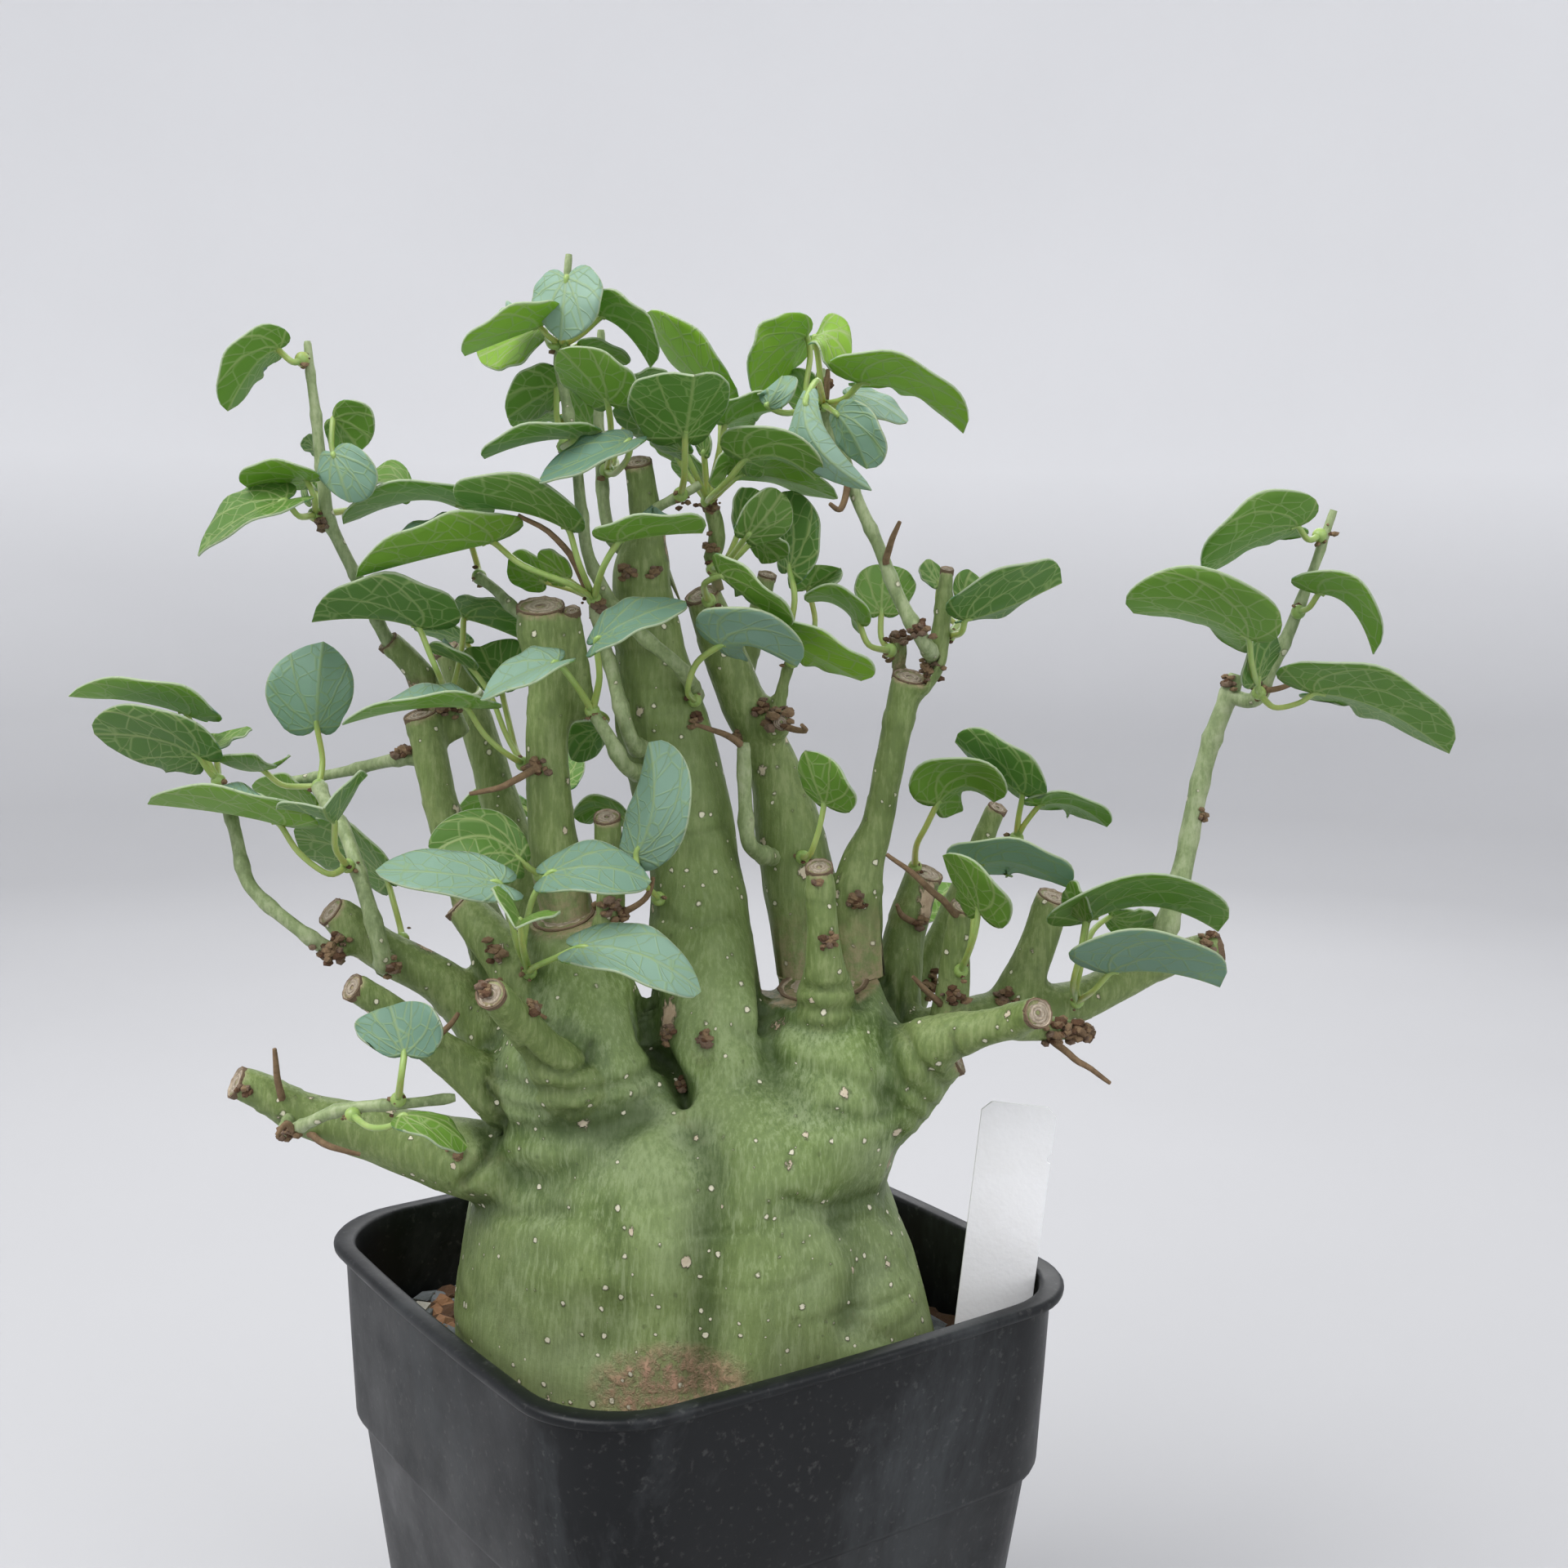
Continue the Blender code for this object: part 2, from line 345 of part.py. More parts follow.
    "leaf_dark_stub": ("caudex", (1120, 1062, 15), (
        ((1147, 986, -8), (1181, 962, -12), (1218, 982, -13), (1152, 927, -22), (1178, 987, -2),
         ((1134, 1012, -4), (1122, 1036, 2))),
    )),
    "leaves_right_twig": ("shoot_right_twig", (1242, 1028, 2), (
        ((1252, 973, -8), (1215, 943, -12), (1170, 908, -10), (1253, 921, -22), (1219, 955, 3), ((1247, 1002, -4),)),
        ((1273, 986, -4), (1316, 986, -6), (1356, 1012, -4), (1306, 971, -14), (1308, 998, 8), ((1254, 1010, -3),)),
    )),
    "leaves_right_grey": ("caudex", (1170, 1200, -3), (
        ((1198, 1115, -28), (1181, 1080, -32), (1155, 1047, -32), (1232, 1097, -42), (1172, 1098, -20),
         ((1192, 1150, -24),)),
        ((1198, 1060, -14), (1246, 1056, -18), (1307, 1086, -16), (1222, 1027, -30), (1235, 1074, -4),
         ((1194, 1085, -14), (1190, 1150, -14))),
    )),
    "leaves_right_pale": ("caudex", (978, 1050, 10), (
        ((1009, 984, -32), (997, 955, -36), (986, 919, -38), (981, 958, -30), (1045, 970, -42),
         ((1003, 1015, -30), (992, 1046, -24))),
    )),
    "leaves_far_right": ("caudex", (1316, 1232, 11), (
        ((1332, 1129, -14), (1410, 1109, -18), (1492, 1140, -14), (1375, 1077, -34), (1402, 1090, 4),
         ((1325, 1176, -14), (1318, 1212, -10))),
        ((1329, 1129, -20), (1316, 1112, -22), (1304, 1090, -22), (1304, 1112, -18), (1327, 1095, -27),
         ((1322, 1170, -20), (1314, 1205, -14))),
        ((1359, 1192, -24), (1425, 1190, -28), (1494, 1208, -26), (1385, 1142, -42), (1432, 1170, -11),
         ((1338, 1214, -20),)),
        ((1360, 1122, 18), (1386, 1128, 18), (1414, 1121, 18), (1390, 1114, 13), (1388, 1151, 23),
         ((1338, 1140, 12), (1324, 1176, 4), (1318, 1204, 0))),
    )),
    "leaf_young_upper": ("shoot_right_young", (1620, 656, 8), (
        ((1589, 645, 2), (1536, 662, 0), (1477, 701, 2), (1539, 608, -14), (1556, 663, 12), ((1602, 661, 3),)),
    )),
    "leaf_young_right": ("shoot_right_young", (1588, 750, 9), (
        ((1615, 727, 0), (1655, 745, -2), (1682, 801, 0), (1642, 701, -12), (1674, 742, 10), ((1603, 744, 2),)),
    )),
    "leaves_young_base": ("shoot_right_young", (1541, 850, 14), (
        ((1529, 783, -8), (1465, 753, -12), (1388, 750, -8), (1502, 702, -28), (1478, 768, 4), ((1533, 816, -3),)),
        ((1541, 832, 4), (1546, 804, 2), (1562, 776, 2), (1524, 808, -4), (1567, 800, 7), ((1540, 843, 6),)),
        ((1610, 849, 0), (1691, 868, -4), (1775, 922, 0), (1670, 814, -18), (1655, 869, 16),
         ((1590, 861, 2), (1560, 866, 6))),
    )),
    "leaves_back_left": ("caudex", (684, 1030, 68), (
        ((640, 985, 92), (600, 978, 96), (560, 990, 94), (612, 960, 88), (606, 1000, 104), ((662, 1006, 86),)),
        ((690, 960, 96), (690, 930, 104), (688, 900, 108), (664, 935, 102), (716, 935, 100), ((686, 992, 88),)),
    )),
    "leaves_back_right": ("caudex", (1092, 1172, 72), (
        ((1120, 1120, 98), (1148, 1100, 106), (1172, 1084, 112), (1120, 1092, 108), (1158, 1120, 102),
         ((1104, 1146, 90),)),
    )),
}


def view_axes():
    """The directions in which the photograph looks: right, down and forward."""
    turn, down, roll = (math.radians(angle) for angle in (VIEW_TURN, VIEW_DOWN, VIEW_ROLL))
    forward = Vector((math.sin(turn) * math.cos(down), math.cos(turn) * math.cos(down), -math.sin(down)))
    level = Vector((math.cos(turn), -math.sin(turn), 0.0))
    below = forward.cross(level)
    right = level * math.cos(roll) + below * math.sin(roll)
    return right, below * math.cos(roll) - level * math.sin(roll), forward


RIGHT, BELOW, FORWARD = view_axes()
AWAY = Vector((math.sin(math.radians(VIEW_TURN)), math.cos(math.radians(VIEW_TURN)), 0.0))


def seen(column, row, behind):
    """The point in millimetres that the photograph shows at a place, that far behind the pot's axis."""
    ray = RIGHT * ((column - CENTRE) / FOCAL) + BELOW * ((row - CENTRE) / FOCAL) + FORWARD
    return EYE + ray * ((behind - EYE.dot(AWAY)) / ray.dot(AWAY))


def real_radius(half_width, point):
    """The real radius of something that looks half_width wide on each side at a point."""
    return half_width / FOCAL * (point - EYE).dot(FORWARD)


def seen_path(places):
    """Points and radii of a limb or shoot from its places in the photograph."""
    points = [seen(column, row, behind) for column, row, behind, _ in places]
    return points, [real_radius(place[3], point) for place, point in zip(places, points)]


def plain_material(name, colour, roughness, metallic=0.0):
    material = bpy.data.materials.new(name)
    material.use_nodes = True
    shader = material.node_tree.nodes["Principled BSDF"]
    shader.inputs["Base Color"].default_value = (*colour, 1.0)
    shader.inputs["Roughness"].default_value = roughness
    shader.inputs["Metallic"].default_value = metallic
    return material


def add_object(name, points, faces, material=None):
    """An object from points in millimetres and their faces."""
    mesh = bpy.data.meshes.new(name)
    mesh.from_pydata([point * MM for point in points], [], faces)
    if material:
        mesh.materials.append(material)
    obj = bpy.data.objects.new(name, mesh)
    bpy.context.scene.collection.objects.link(obj)
    return obj


def smooth_path(points, radii, pieces):
    """A rounder path through the same points, each run cut into pieces."""
    path = []
    for i in range(len(points) - 1):
        before = points[max(i - 1, 0)]
        after = points[min(i + 2, len(points) - 1)]
        for step in range(pieces):
            t = step / pieces
            path.append((catmull(before, points[i], points[i + 1], after, t),
                         radii[i] + (radii[i + 1] - radii[i]) * t))
    path.append((points[-1], radii[-1]))
    return [point for point, _ in path], [radius for _, radius in path]


def catmull(before, start, end, after, t):
    return 0.5 * (2 * start + (end - before) * t + (2 * before - 5 * start + 4 * end - after) * t * t
                  + (3 * start - before - 3 * end + after) * t ** 3)


def tube(points, radii, sides):
    """A closed tapered tube as points and faces, its rings carried along the path without twist."""
    ring_points = []
    faces = []
    across = None
    for i, (point, radius) in enumerate(zip(points, radii)):
        along = (points[min(i + 1, len(points) - 1)] - points[max(i - 1, 0)]).normalized()
        if across is None:
            across = along.orthogonal().normalized()
        across = (across - along * across.dot(along)).normalized()
        other = along.cross(across)
        for side in range(sides):
            angle = 2 * math.pi * side / sides
            ring_points.append(point + (across * math.cos(angle) + other * math.sin(angle)) * radius)
        if i:
            start = (i - 1) * sides
            faces += [(start + s, start + (s + 1) % sides, start + sides + (s + 1) % sides, start + sides + s)
                      for s in range(sides)]
    faces.append(tuple(reversed(range(sides))))
    faces.append(tuple(range(len(ring_points) - sides, len(ring_points))))
    return ring_points, faces


def rounded_square(half, z, corner_steps=4, side_steps=2):
    """A ring of points: a square with round corners whose sides bow out a little."""
    radius = half * CORNER_RATIO
    ring = []
    for quarter in range(4):
        start = quarter * math.pi / 2
        centre = Vector((half - radius, half - radius, 0.0))
        centre.rotate(Quaternion((0, 0, 1), start))
        for step in range(corner_steps + 1):
            angle = start + math.pi / 2 * step / corner_steps
            ring.append(centre + Vector((math.cos(angle), math.sin(angle), 0.0)) * radius)
        turned = Quaternion((0, 0, 1), start + math.pi / 2)
        for step in range(1, side_steps):
            along = (half - radius) * (2 * step / side_steps - 1)
            place = Vector((half, along, 0.0))
            place.rotate(turned)
            ring.append(place)
    return [Vector((p.x * (1 + SIDE_BOW * (1 - (p.y / half) ** 2)), p.y * (1 + SIDE_BOW * (1 - (p.x / half) ** 2)), z))
            for p in ring]


def lofted(rings):
    """Points and faces of a closed solid through rings with equal counts."""
    count = len(rings[0])
    points = [point for ring in rings for point in ring]
    faces = []
    for r in range(len(rings) - 1):
        base = r * count
        faces += [(base + i, base + (i + 1) % count, base + count + (i + 1) % count, base + count + i)
                  for i in range(count)]
    faces.append(tuple(reversed(range(count))))
    faces.append(tuple(range(len(points) - count, len(points))))
    return points, faces


def pot_wall_half(z):
    """Half the pot's outer width at a height, below the rim."""
    if z < LEDGE_Z:
        return BASE_HALF + (LEDGE_HALF - LEDGE_STEP - BASE_HALF) * z / LEDGE_Z
    return LEDGE_HALF + (WALL_TOP_HALF - LEDGE_HALF) * (z - LEDGE_Z) / (POT_HEIGHT - RIM_THICKNESS - LEDGE_Z)


def apply_modifiers(obj):
    """Gives an object the mesh that its modifiers make."""
    graph = bpy.context.evaluated_depsgraph_get()
    mesh = bpy.data.meshes.new_from_object(obj.evaluated_get(graph))
    obj.modifiers.clear()
    obj.data = mesh


def boolean(obj, other, operation, solver="EXACT"):
    modifier = obj.modifiers.new(operation.title(), "BOOLEAN")
    modifier.operation = operation
    modifier.solver = solver
    modifier.object = other
    apply_modifiers(obj)
    bpy.data.objects.remove(other)


def make_pot(material):
    """The square nursery pot: tapered wall, stacking ledge, rolled rim, floor with four drain holes."""
    rim_under = POT_HEIGHT - RIM_THICKNESS
    inner_rim = RIM_HALF - RIM_BAND
    profile = (
        (BASE_HALF - 1.5, 0.0), (pot_wall_half(1.5), 1.5), (pot_wall_half(LEDGE_Z - 0.01), LEDGE_Z - 0.8),
        (LEDGE_HALF, LEDGE_Z + 0.8), (pot_wall_half(rim_under), rim_under),
        (RIM_HALF - 0.5, rim_under), (RIM_HALF, rim_under + 0.6), (RIM_HALF, POT_HEIGHT - 0.7),
        (RIM_HALF - 0.7, POT_HEIGHT), (inner_rim + 0.7, POT_HEIGHT), (inner_rim, POT_HEIGHT - 0.8),
        (pot_wall_half(LEDGE_Z) - WALL, LEDGE_Z + 1.4), (pot_wall_half(LEDGE_Z - 0.01) - WALL, LEDGE_Z - 0.4),
        (pot_wall_half(FLOOR) - WALL, FLOOR),
    )
    points, faces = lofted([rounded_square(half, z) for half, z in profile])
    pot = add_object("pot", points, faces, material)
    for x, y in ((1, 1), (1, -1), (-1, 1), (-1, -1)):
        place = Vector((x, y, 0)) * DRAIN_PLACE
        holes = tube([place - Vector((0, 0, 2)), place + Vector((0, 0, FLOOR + 2))], [DRAIN_RADIUS] * 2, DRAIN_SIDES)
        boolean(pot, add_object("drain", *holes), "DIFFERENCE")
    return pot


def make_caudex(material):
    """The swollen trunk and its arms, grown together: joined as one volume, softened, then thinned out."""
    points = []
    faces = []

    def add(new_points, new_faces):
        faces.extend(tuple(index + len(points) for index in face) for face in new_faces)
        points.extend(new_points)

    rings = []
    for row, left, right, half_depth in TRUNK:
        middle = seen((left + right) / 2, row, 0.0)
        half_width = real_radius((right - left) / 2, middle)
        side = Vector((AWAY.y, -AWAY.x, 0.0))
        rings.append([middle + side * half_width * math.cos(a) + AWAY * half_depth * math.sin(a)
                      for a in (2 * math.pi * step / TRUNK_SIDES for step in range(TRUNK_SIDES))])
    add(*lofted(rings))
    for places in LIMBS.values():
        add(*tube(*smooth_path(*seen_path(places), 3), LIMB_SIDES))
    caudex = add_object("caudex", points, faces, material)
    remesh = caudex.modifiers.new("GrownTogether", "REMESH")
    remesh.mode = "VOXEL"
    remesh.voxel_size = VOXEL * MM
    soften = caudex.modifiers.new("Soften", "SMOOTH")
    soften.factor = 0.5
    soften.iterations = 5
    thin_out = caudex.modifiers.new("ThinOut", "DECIMATE")
    thin_out.ratio = FACES_KEPT
    apply_modifiers(caudex)
    return close_pockets(caudex)


def surface_of(obj):
    graph = bpy.context.evaluated_depsgraph_get()
    return BVHTree.FromObject(obj, graph)


def seat_on(surface, outside, inside, radius):
    """Centre of a ball resting a small gap off a surface, on the way from outside in, and its way up."""
    way = inside - outside
    hit, normal, _, _ = surface.ray_cast(outside * MM, way.normalized(), way.length * MM)
    if hit is None:
        hit, normal, _, _ = surface.find_nearest(inside * MM)
    return hit / MM + normal * (radius + GAP), normal


def make_shoot(name, material, surfaces):
    """A thin shoot: a tapered tube whose swollen foot rests against what carries it."""
    carrier, places = SHOOTS[name]
    points, radii = seen_path(places)
    foot, _ = seat_on(surfaces[carrier], points[1], points[0], radii[0])
    end = foot + (foot - points[1]).normalized() * radii[0] * 0.9
    return add_object(name, *tube([end, foot, *points[1:]], [radii[0] * 0.4, *radii], SHOOT_SIDES), material)


def midrib_point(joint, middle, tip, u):
    """A place on the midrib, a quadratic curve through its joint, middle and tip, and its direction there."""
    control = middle * 2 - (joint + tip) / 2
    along = (control - joint) * 2 * (1 - max(u, 0.0)) + (tip - control) * 2 * max(u, 0.0)
    if u < 0:
        return joint + along * u, along
    return joint * (1 - u) ** 2 + control * 2 * u * (1 - u) + tip * u * u, along


# The blade's outline on one side of the midrib: distance along the midrib, and out to the widest edge.
WIDEST = 0.34
HALF_OUTLINE = ((-0.06, 0.66), (WIDEST, 1.0), (0.80, 0.56))
MIDRIB_STOPS = (0.0, WIDEST, 1.0)


def blade(joint, middle, tip, side_a, side_b):
    """A leaf blade as a thin closed solid, folded along its midrib as its two sides say."""
    at_widest, along_widest = midrib_point(joint, middle, tip, WIDEST)
    sides = (side_a - at_widest, side_b - at_widest)

    def place(u, out, side):
        point, along = midrib_point(joint, middle, tip, u)
        turn = along_widest.rotation_difference(along)
        reach = [turn @ vector for vector in sides]
        up = [reach[0].cross(along).normalized(), along.cross(reach[1]).normalized()]
        normal = (up[0] + up[1]).normalized() if out == 0 else up[side]
        return point + reach[side] * out, normal

    placed = [place(u, 0.0, 0) for u in MIDRIB_STOPS]
    placed += [place(u, out, 0) for u, out in HALF_OUTLINE]
    placed += [place(u, out, 1) for u, out in HALF_OUTLINE]
    half = LEAF_THICKNESS / 2
    points = [point + normal * half for point, normal in placed]
    points += [point - normal * half for point, normal in placed]
    top = []
    for first, flip in ((3, False), (6, True)):
        near, wide, far = range(first, first + 3)
        for face in ((0, near, wide), (0, wide, 1), (1, wide, far), (1, far, 2)):
            top.append(tuple(reversed(face)) if flip else face)
    count = len(placed)
    edge = [0, 3, 4, 5, 2, 8, 7, 6]
    faces = list(top) + [tuple(index + count for index in reversed(face)) for face in top]
    for i, index in enumerate(edge):
        following = edge[(i + 1) % len(edge)]
        faces += [(following, index, index + count), (following, index + count, following + count)]
    return points, faces


def outward(obj):
    """Turns every face of a closed mesh outwards."""
    work = bmesh.new()
    work.from_mesh(obj.data)
    bmesh.ops.recalc_face_normals(work, faces=work.faces)
    work.to_mesh(obj.data)
    work.free()
    return obj


def cushion_at(centre, up, radius):
    """A small cushion with eight faces, one corner pointing down, as points and faces."""
    side = up.orthogonal().normalized()
    other = up.cross(side)
    faces = [(corner, (corner + 1) % 4, 4) for corner in range(4)]
    faces += [((corner + 1) % 4, corner, 5) for corner in range(4)]
    return [centre + end * radius for end in (side, other, -side, -other, up, -up)], faces


def make_cluster(name, material, surfaces):
    """A leaf or a few leaves that share one cushion, grown together as one body."""
    carrier, cushion, leaves = CLUSTERS[name]
    outside = sum((seen(*leaf[5][-1]) for leaf in leaves), Vector()) / len(leaves)
    centre, up = seat_on(surfaces[carrier], outside, seen(*cushion), CUSHION_RADIUS)
    cluster = outward(add_object(name, *cushion_at(centre, up, CUSHION_RADIUS), material))
    for joint, middle, tip, side_a, side_b, bends in leaves:
        corners = [seen(*place) for place in (joint, middle, tip, side_a, side_b)]
        start = corners[0].lerp(midrib_point(*corners[:3], WIDEST)[0], 0.3)
        path = [start, corners[0], *(seen(*bend) for bend in bends), centre]
        stalk = outward(add_object("stalk", *tube(path, [STALK_RADIUS] * len(path), 4)))
        boolean(cluster, stalk, "UNION", "MANIFOLD")
        boolean(cluster, outward(add_object("blade", *blade(*corners))), "UNION", "MANIFOLD")
    return close_pockets(cluster)


def volume_of(faces):
    """The volume that faces enclose, less than nothing where they face inwards."""
    total = 0.0
    for face in faces:
        first, *others = (vertex.co for vertex in face.verts)
        total += sum(first.dot(others[i].cross(others[i + 1])) for i in range(len(others) - 1)) / 6
    return total


def close_pockets(obj):
    """Fills the pockets that crossing pieces have sealed inside a body, and drops loose crumbs."""
    work = bmesh.new()
    work.from_mesh(obj.data)
    left = set(work.faces)
    while left:
        shell = [left.pop()]
        for face in shell:
            for other in {other for edge in face.edges for other in edge.link_faces} & left:
                left.remove(other)
                shell.append(other)
        if volume_of(shell) < CRUMB * MM ** 3:
            bmesh.ops.delete(work, geom=shell, context="FACES")
    work.to_mesh(obj.data)
    work.free()
    return obj


def make_label(material):
    """The plant label: a thin white stake leaning a little, its top corners cut."""
    foot = seen(1212, 1640, -10)
    head = seen(1249, 1352, -10)
    along = (head - foot).normalized()
    across = (seen(1282, 1356, -10) - seen(1216, 1349, -10))
    across = (across - along * across.dot(along)).normalized()
    face = along.cross(across)
    half = LABEL_WIDTH / 2
    bottom = head - along * LABEL_LENGTH
    outline = [bottom + along * LABEL_POINT - across * half, bottom - across * 2, bottom + across * 2,
               bottom + along * LABEL_POINT + across * half, head + across * half - along * 3,
               head + across * (half - 1.5), head - across * (half - 3), head - across * half - along * 8]
    points = [point + face * side * LABEL_THICKNESS / 2 for side in (-1, 1) for point in outline]
    count = len(outline)
    faces = [tuple(range(count)), tuple(reversed(range(count, 2 * count)))]
    faces += [(i, i + count, (i + 1) % count + count, (i + 1) % count) for i in range(count)]
    return outward(add_object("plant_label", points, faces, material))


def grown_copy(obj, distance):
    """A copy of an object swollen by a distance, for cutting the room that it stands in."""
    copy = bpy.data.objects.new(obj.name + "_room", obj.data.copy())
    bpy.context.scene.collection.objects.link(copy)
    swell = copy.modifiers.new("Swell", "DISPLACE")
    swell.mid_level = 0.0
    swell.strength = distance * MM
    apply_modifiers(copy)
    return copy


def make_potting_mix(material, caudex, label):
    """The gritty mix that fills the pot, with the hollows that the caudex and the label stand in."""
    clear = WALL + GAP
    profile = (
        (pot_wall_half(FLOOR) - clear - 0.2, FLOOR + GAP), (pot_wall_half(LEDGE_Z - 2) - clear, LEDGE_Z - 2),
        (pot_wall_half(LEDGE_Z + 4) - clear - 0.4, LEDGE_Z + 4), (pot_wall_half(SOIL_Z) - clear - 0.4, SOIL_Z - 1),
        (pot_wall_half(SOIL_Z) - clear - 4, SOIL_Z),
    )
    points, faces = lofted([rounded_square(half, z) for half, z in profile])
    mix = add_object("potting_mix", points, faces, material)
    boolean(mix, grown_copy(caudex, GAP + 0.1), "DIFFERENCE")
    boolean(mix, grown_copy(label, GAP), "DIFFERENCE")
    return mix


def main():
    for obj in list(bpy.data.objects):
        bpy.data.objects.remove(obj)
    black_plastic = plain_material("black plastic", (0.014, 0.017, 0.019), 0.42)
    gritty_mix = plain_material("gritty mix", (0.20, 0.15, 0.11), 0.95)
    white_plastic = plain_material("white plastic", (0.80, 0.81, 0.83), 0.35)
    green_bark = plain_material("green bark", (0.12, 0.20, 0.05), 0.55)
    shoot_bark = plain_material("young bark", (0.28, 0.34, 0.20), 0.55)
    leaf_green = plain_material("leaf green", (0.17, 0.33, 0.20), 0.50)
    make_pot(black_plastic)
    caudex = make_caudex(green_bark)
    label = make_label(white_plastic)
    make_potting_mix(gritty_mix, caudex, label)
    surfaces = {"caudex": surface_of(caudex)}
    for name in SHOOTS:
        surfaces[name] = surface_of(make_shoot(name, shoot_bark, surfaces))
    for name in CLUSTERS:
        make_cluster(name, leaf_green, surfaces)


main()
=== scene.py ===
# %% [markdown]
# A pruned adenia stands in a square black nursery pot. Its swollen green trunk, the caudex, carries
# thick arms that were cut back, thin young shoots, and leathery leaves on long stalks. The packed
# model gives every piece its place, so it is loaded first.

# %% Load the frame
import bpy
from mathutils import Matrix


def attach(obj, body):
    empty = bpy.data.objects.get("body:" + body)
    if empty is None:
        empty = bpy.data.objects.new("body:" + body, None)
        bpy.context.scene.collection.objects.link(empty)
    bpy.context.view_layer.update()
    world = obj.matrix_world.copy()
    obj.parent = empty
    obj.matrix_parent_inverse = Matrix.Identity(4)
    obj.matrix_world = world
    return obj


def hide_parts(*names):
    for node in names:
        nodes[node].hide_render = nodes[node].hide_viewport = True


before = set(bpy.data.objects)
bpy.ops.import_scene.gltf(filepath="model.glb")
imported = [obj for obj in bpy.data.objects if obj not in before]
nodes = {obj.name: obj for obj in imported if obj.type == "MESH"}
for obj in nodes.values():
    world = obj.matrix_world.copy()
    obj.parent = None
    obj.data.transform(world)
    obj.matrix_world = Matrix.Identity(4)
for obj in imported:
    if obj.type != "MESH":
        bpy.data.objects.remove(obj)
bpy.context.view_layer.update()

import math
import random

import bmesh
import bpy
import numpy as np
from mathutils import Matrix, Vector, noise
from mathutils.bvhtree import BVHTree

MM = 0.001
print(len(nodes), "nodes in the frame")

# %% [markdown]
# The camera stands where the photograph was taken. The pot's rim, a 150 mm square, fixes that spot.
# The same few values turn any place in the photograph into a point in the scene, so a leaf can be
# placed by its column, its row, and how far it lies behind the pot's axis, in millimetres.

# %% Stand where the photograph was taken
EYE = Vector((-0.2426, -0.3876, 0.3263))
VIEW_TURN = 34.91
VIEW_DOWN = 6.45
VIEW_ROLL = -0.83
FOCAL = 2200.0
CENTRE = 960.0
SENSOR = 36.0


def view_axes():
    """The directions in which the photograph looks: right, down and forward."""
    turn, down, roll = (math.radians(angle) for angle in (VIEW_TURN, VIEW_DOWN, VIEW_ROLL))
    forward = Vector((math.sin(turn) * math.cos(down), math.cos(turn) * math.cos(down), -math.sin(down)))
    level = Vector((math.cos(turn), -math.sin(turn), 0.0))
    below = forward.cross(level)
    right = level * math.cos(roll) + below * math.sin(roll)
    return right, below * math.cos(roll) - level * math.sin(roll), forward


RIGHT, BELOW, FORWARD = view_axes()
AWAY = Vector((FORWARD.x, FORWARD.y, 0.0)).normalized()


def way_to(column, row):
    """The direction from the camera through a place in the photograph."""
    return RIGHT * ((column - CENTRE) / FOCAL) + BELOW * ((row - CENTRE) / FOCAL) + FORWARD


def seen(column, row, behind):
    """The point at a place in the photograph, that many millimetres behind the pot's axis."""
    way = way_to(column, row)
    return EYE + way * ((behind * MM - EYE.dot(AWAY)) / way.dot(AWAY))


def real_radius(half_width, point):
    """The real radius of something that looks half_width wide on each side at a point."""
    return half_width / FOCAL * (point - EYE).dot(FORWARD)


def picture_places(points):
    """Columns and rows in the photograph of an array of points."""
    across, down, along = ((points - np.array(EYE)) @ np.array(axis) for axis in (RIGHT, BELOW, FORWARD))
    return CENTRE + FOCAL * across / along, CENTRE + FOCAL * down / along


bpy.ops.object.camera_add()
camera = bpy.context.object
camera.matrix_world = Matrix((
    (RIGHT.x, -BELOW.x, -FORWARD.x, EYE.x),
    (RIGHT.y, -BELOW.y, -FORWARD.y, EYE.y),
    (RIGHT.z, -BELOW.z, -FORWARD.z, EYE.z),
    (0.0, 0.0, 0.0, 1.0)))
camera.data.sensor_width = SENSOR
camera.data.lens = SENSOR * FOCAL / (2 * CENTRE)
camera.data.clip_start = 0.01
bpy.context.scene.camera = camera
bpy.context.scene.view_settings.view_transform = "Standard"
print("lens", round(camera.data.lens, 2), "mm")

# %% [markdown]
# A few helpers are used for every piece. One selects a single object, one applies its modifiers, and
# one finishes a piece: its place goes into its mesh, and it is told which body it rides on and which
# nodes of the frame it stands for.

# %% Helpers for every piece
def pick(obj):
    """Selects one object alone, so that the next operator acts on it only."""
    bpy.ops.object.select_all(action="DESELECT")
    obj.select_set(True)
    bpy.context.view_layer.objects.active = obj
    return obj


def apply_modifiers(obj):
    pick(obj)
    for modifier in list(obj.modifiers):
        bpy.ops.object.modifier_apply(modifier=modifier.name)


def finish_piece(obj, name, replaced=()):
    """Names a piece, puts its place into its mesh and says what it rides on and stands for."""
    pick(obj)
    bpy.ops.object.transform_apply(location=True, rotation=True, scale=True)
    obj.name = name
    obj.data.name = name
    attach(obj, "root")
    if replaced:
        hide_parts(*replaced)
    print(name, len(obj.data.polygons), "faces")
    return obj


def join_all(objects, name):
    """Joins objects into the first one."""
    bpy.ops.object.select_all(action="DESELECT")
    for obj in objects:
        obj.select_set(True)
    bpy.context.view_layer.objects.active = objects[0]
    if len(objects) > 1:
        bpy.ops.object.join()
    bpy.context.object.name = name
    return bpy.context.object


def set_attribute(obj, name, values):
    """Keeps one number for each point of a mesh, for its material to read."""
    attribute = obj.data.attributes.get(name) or obj.data.attributes.new(name, "FLOAT", "POINT")
    attribute.data.foreach_set("value", np.asarray(values, dtype=np.float32))


# %% [markdown]
# Materials are built from nodes. This helper adds a node, sets its inputs and links the sockets that
# it is given, so that each material below reads as a short list of steps.

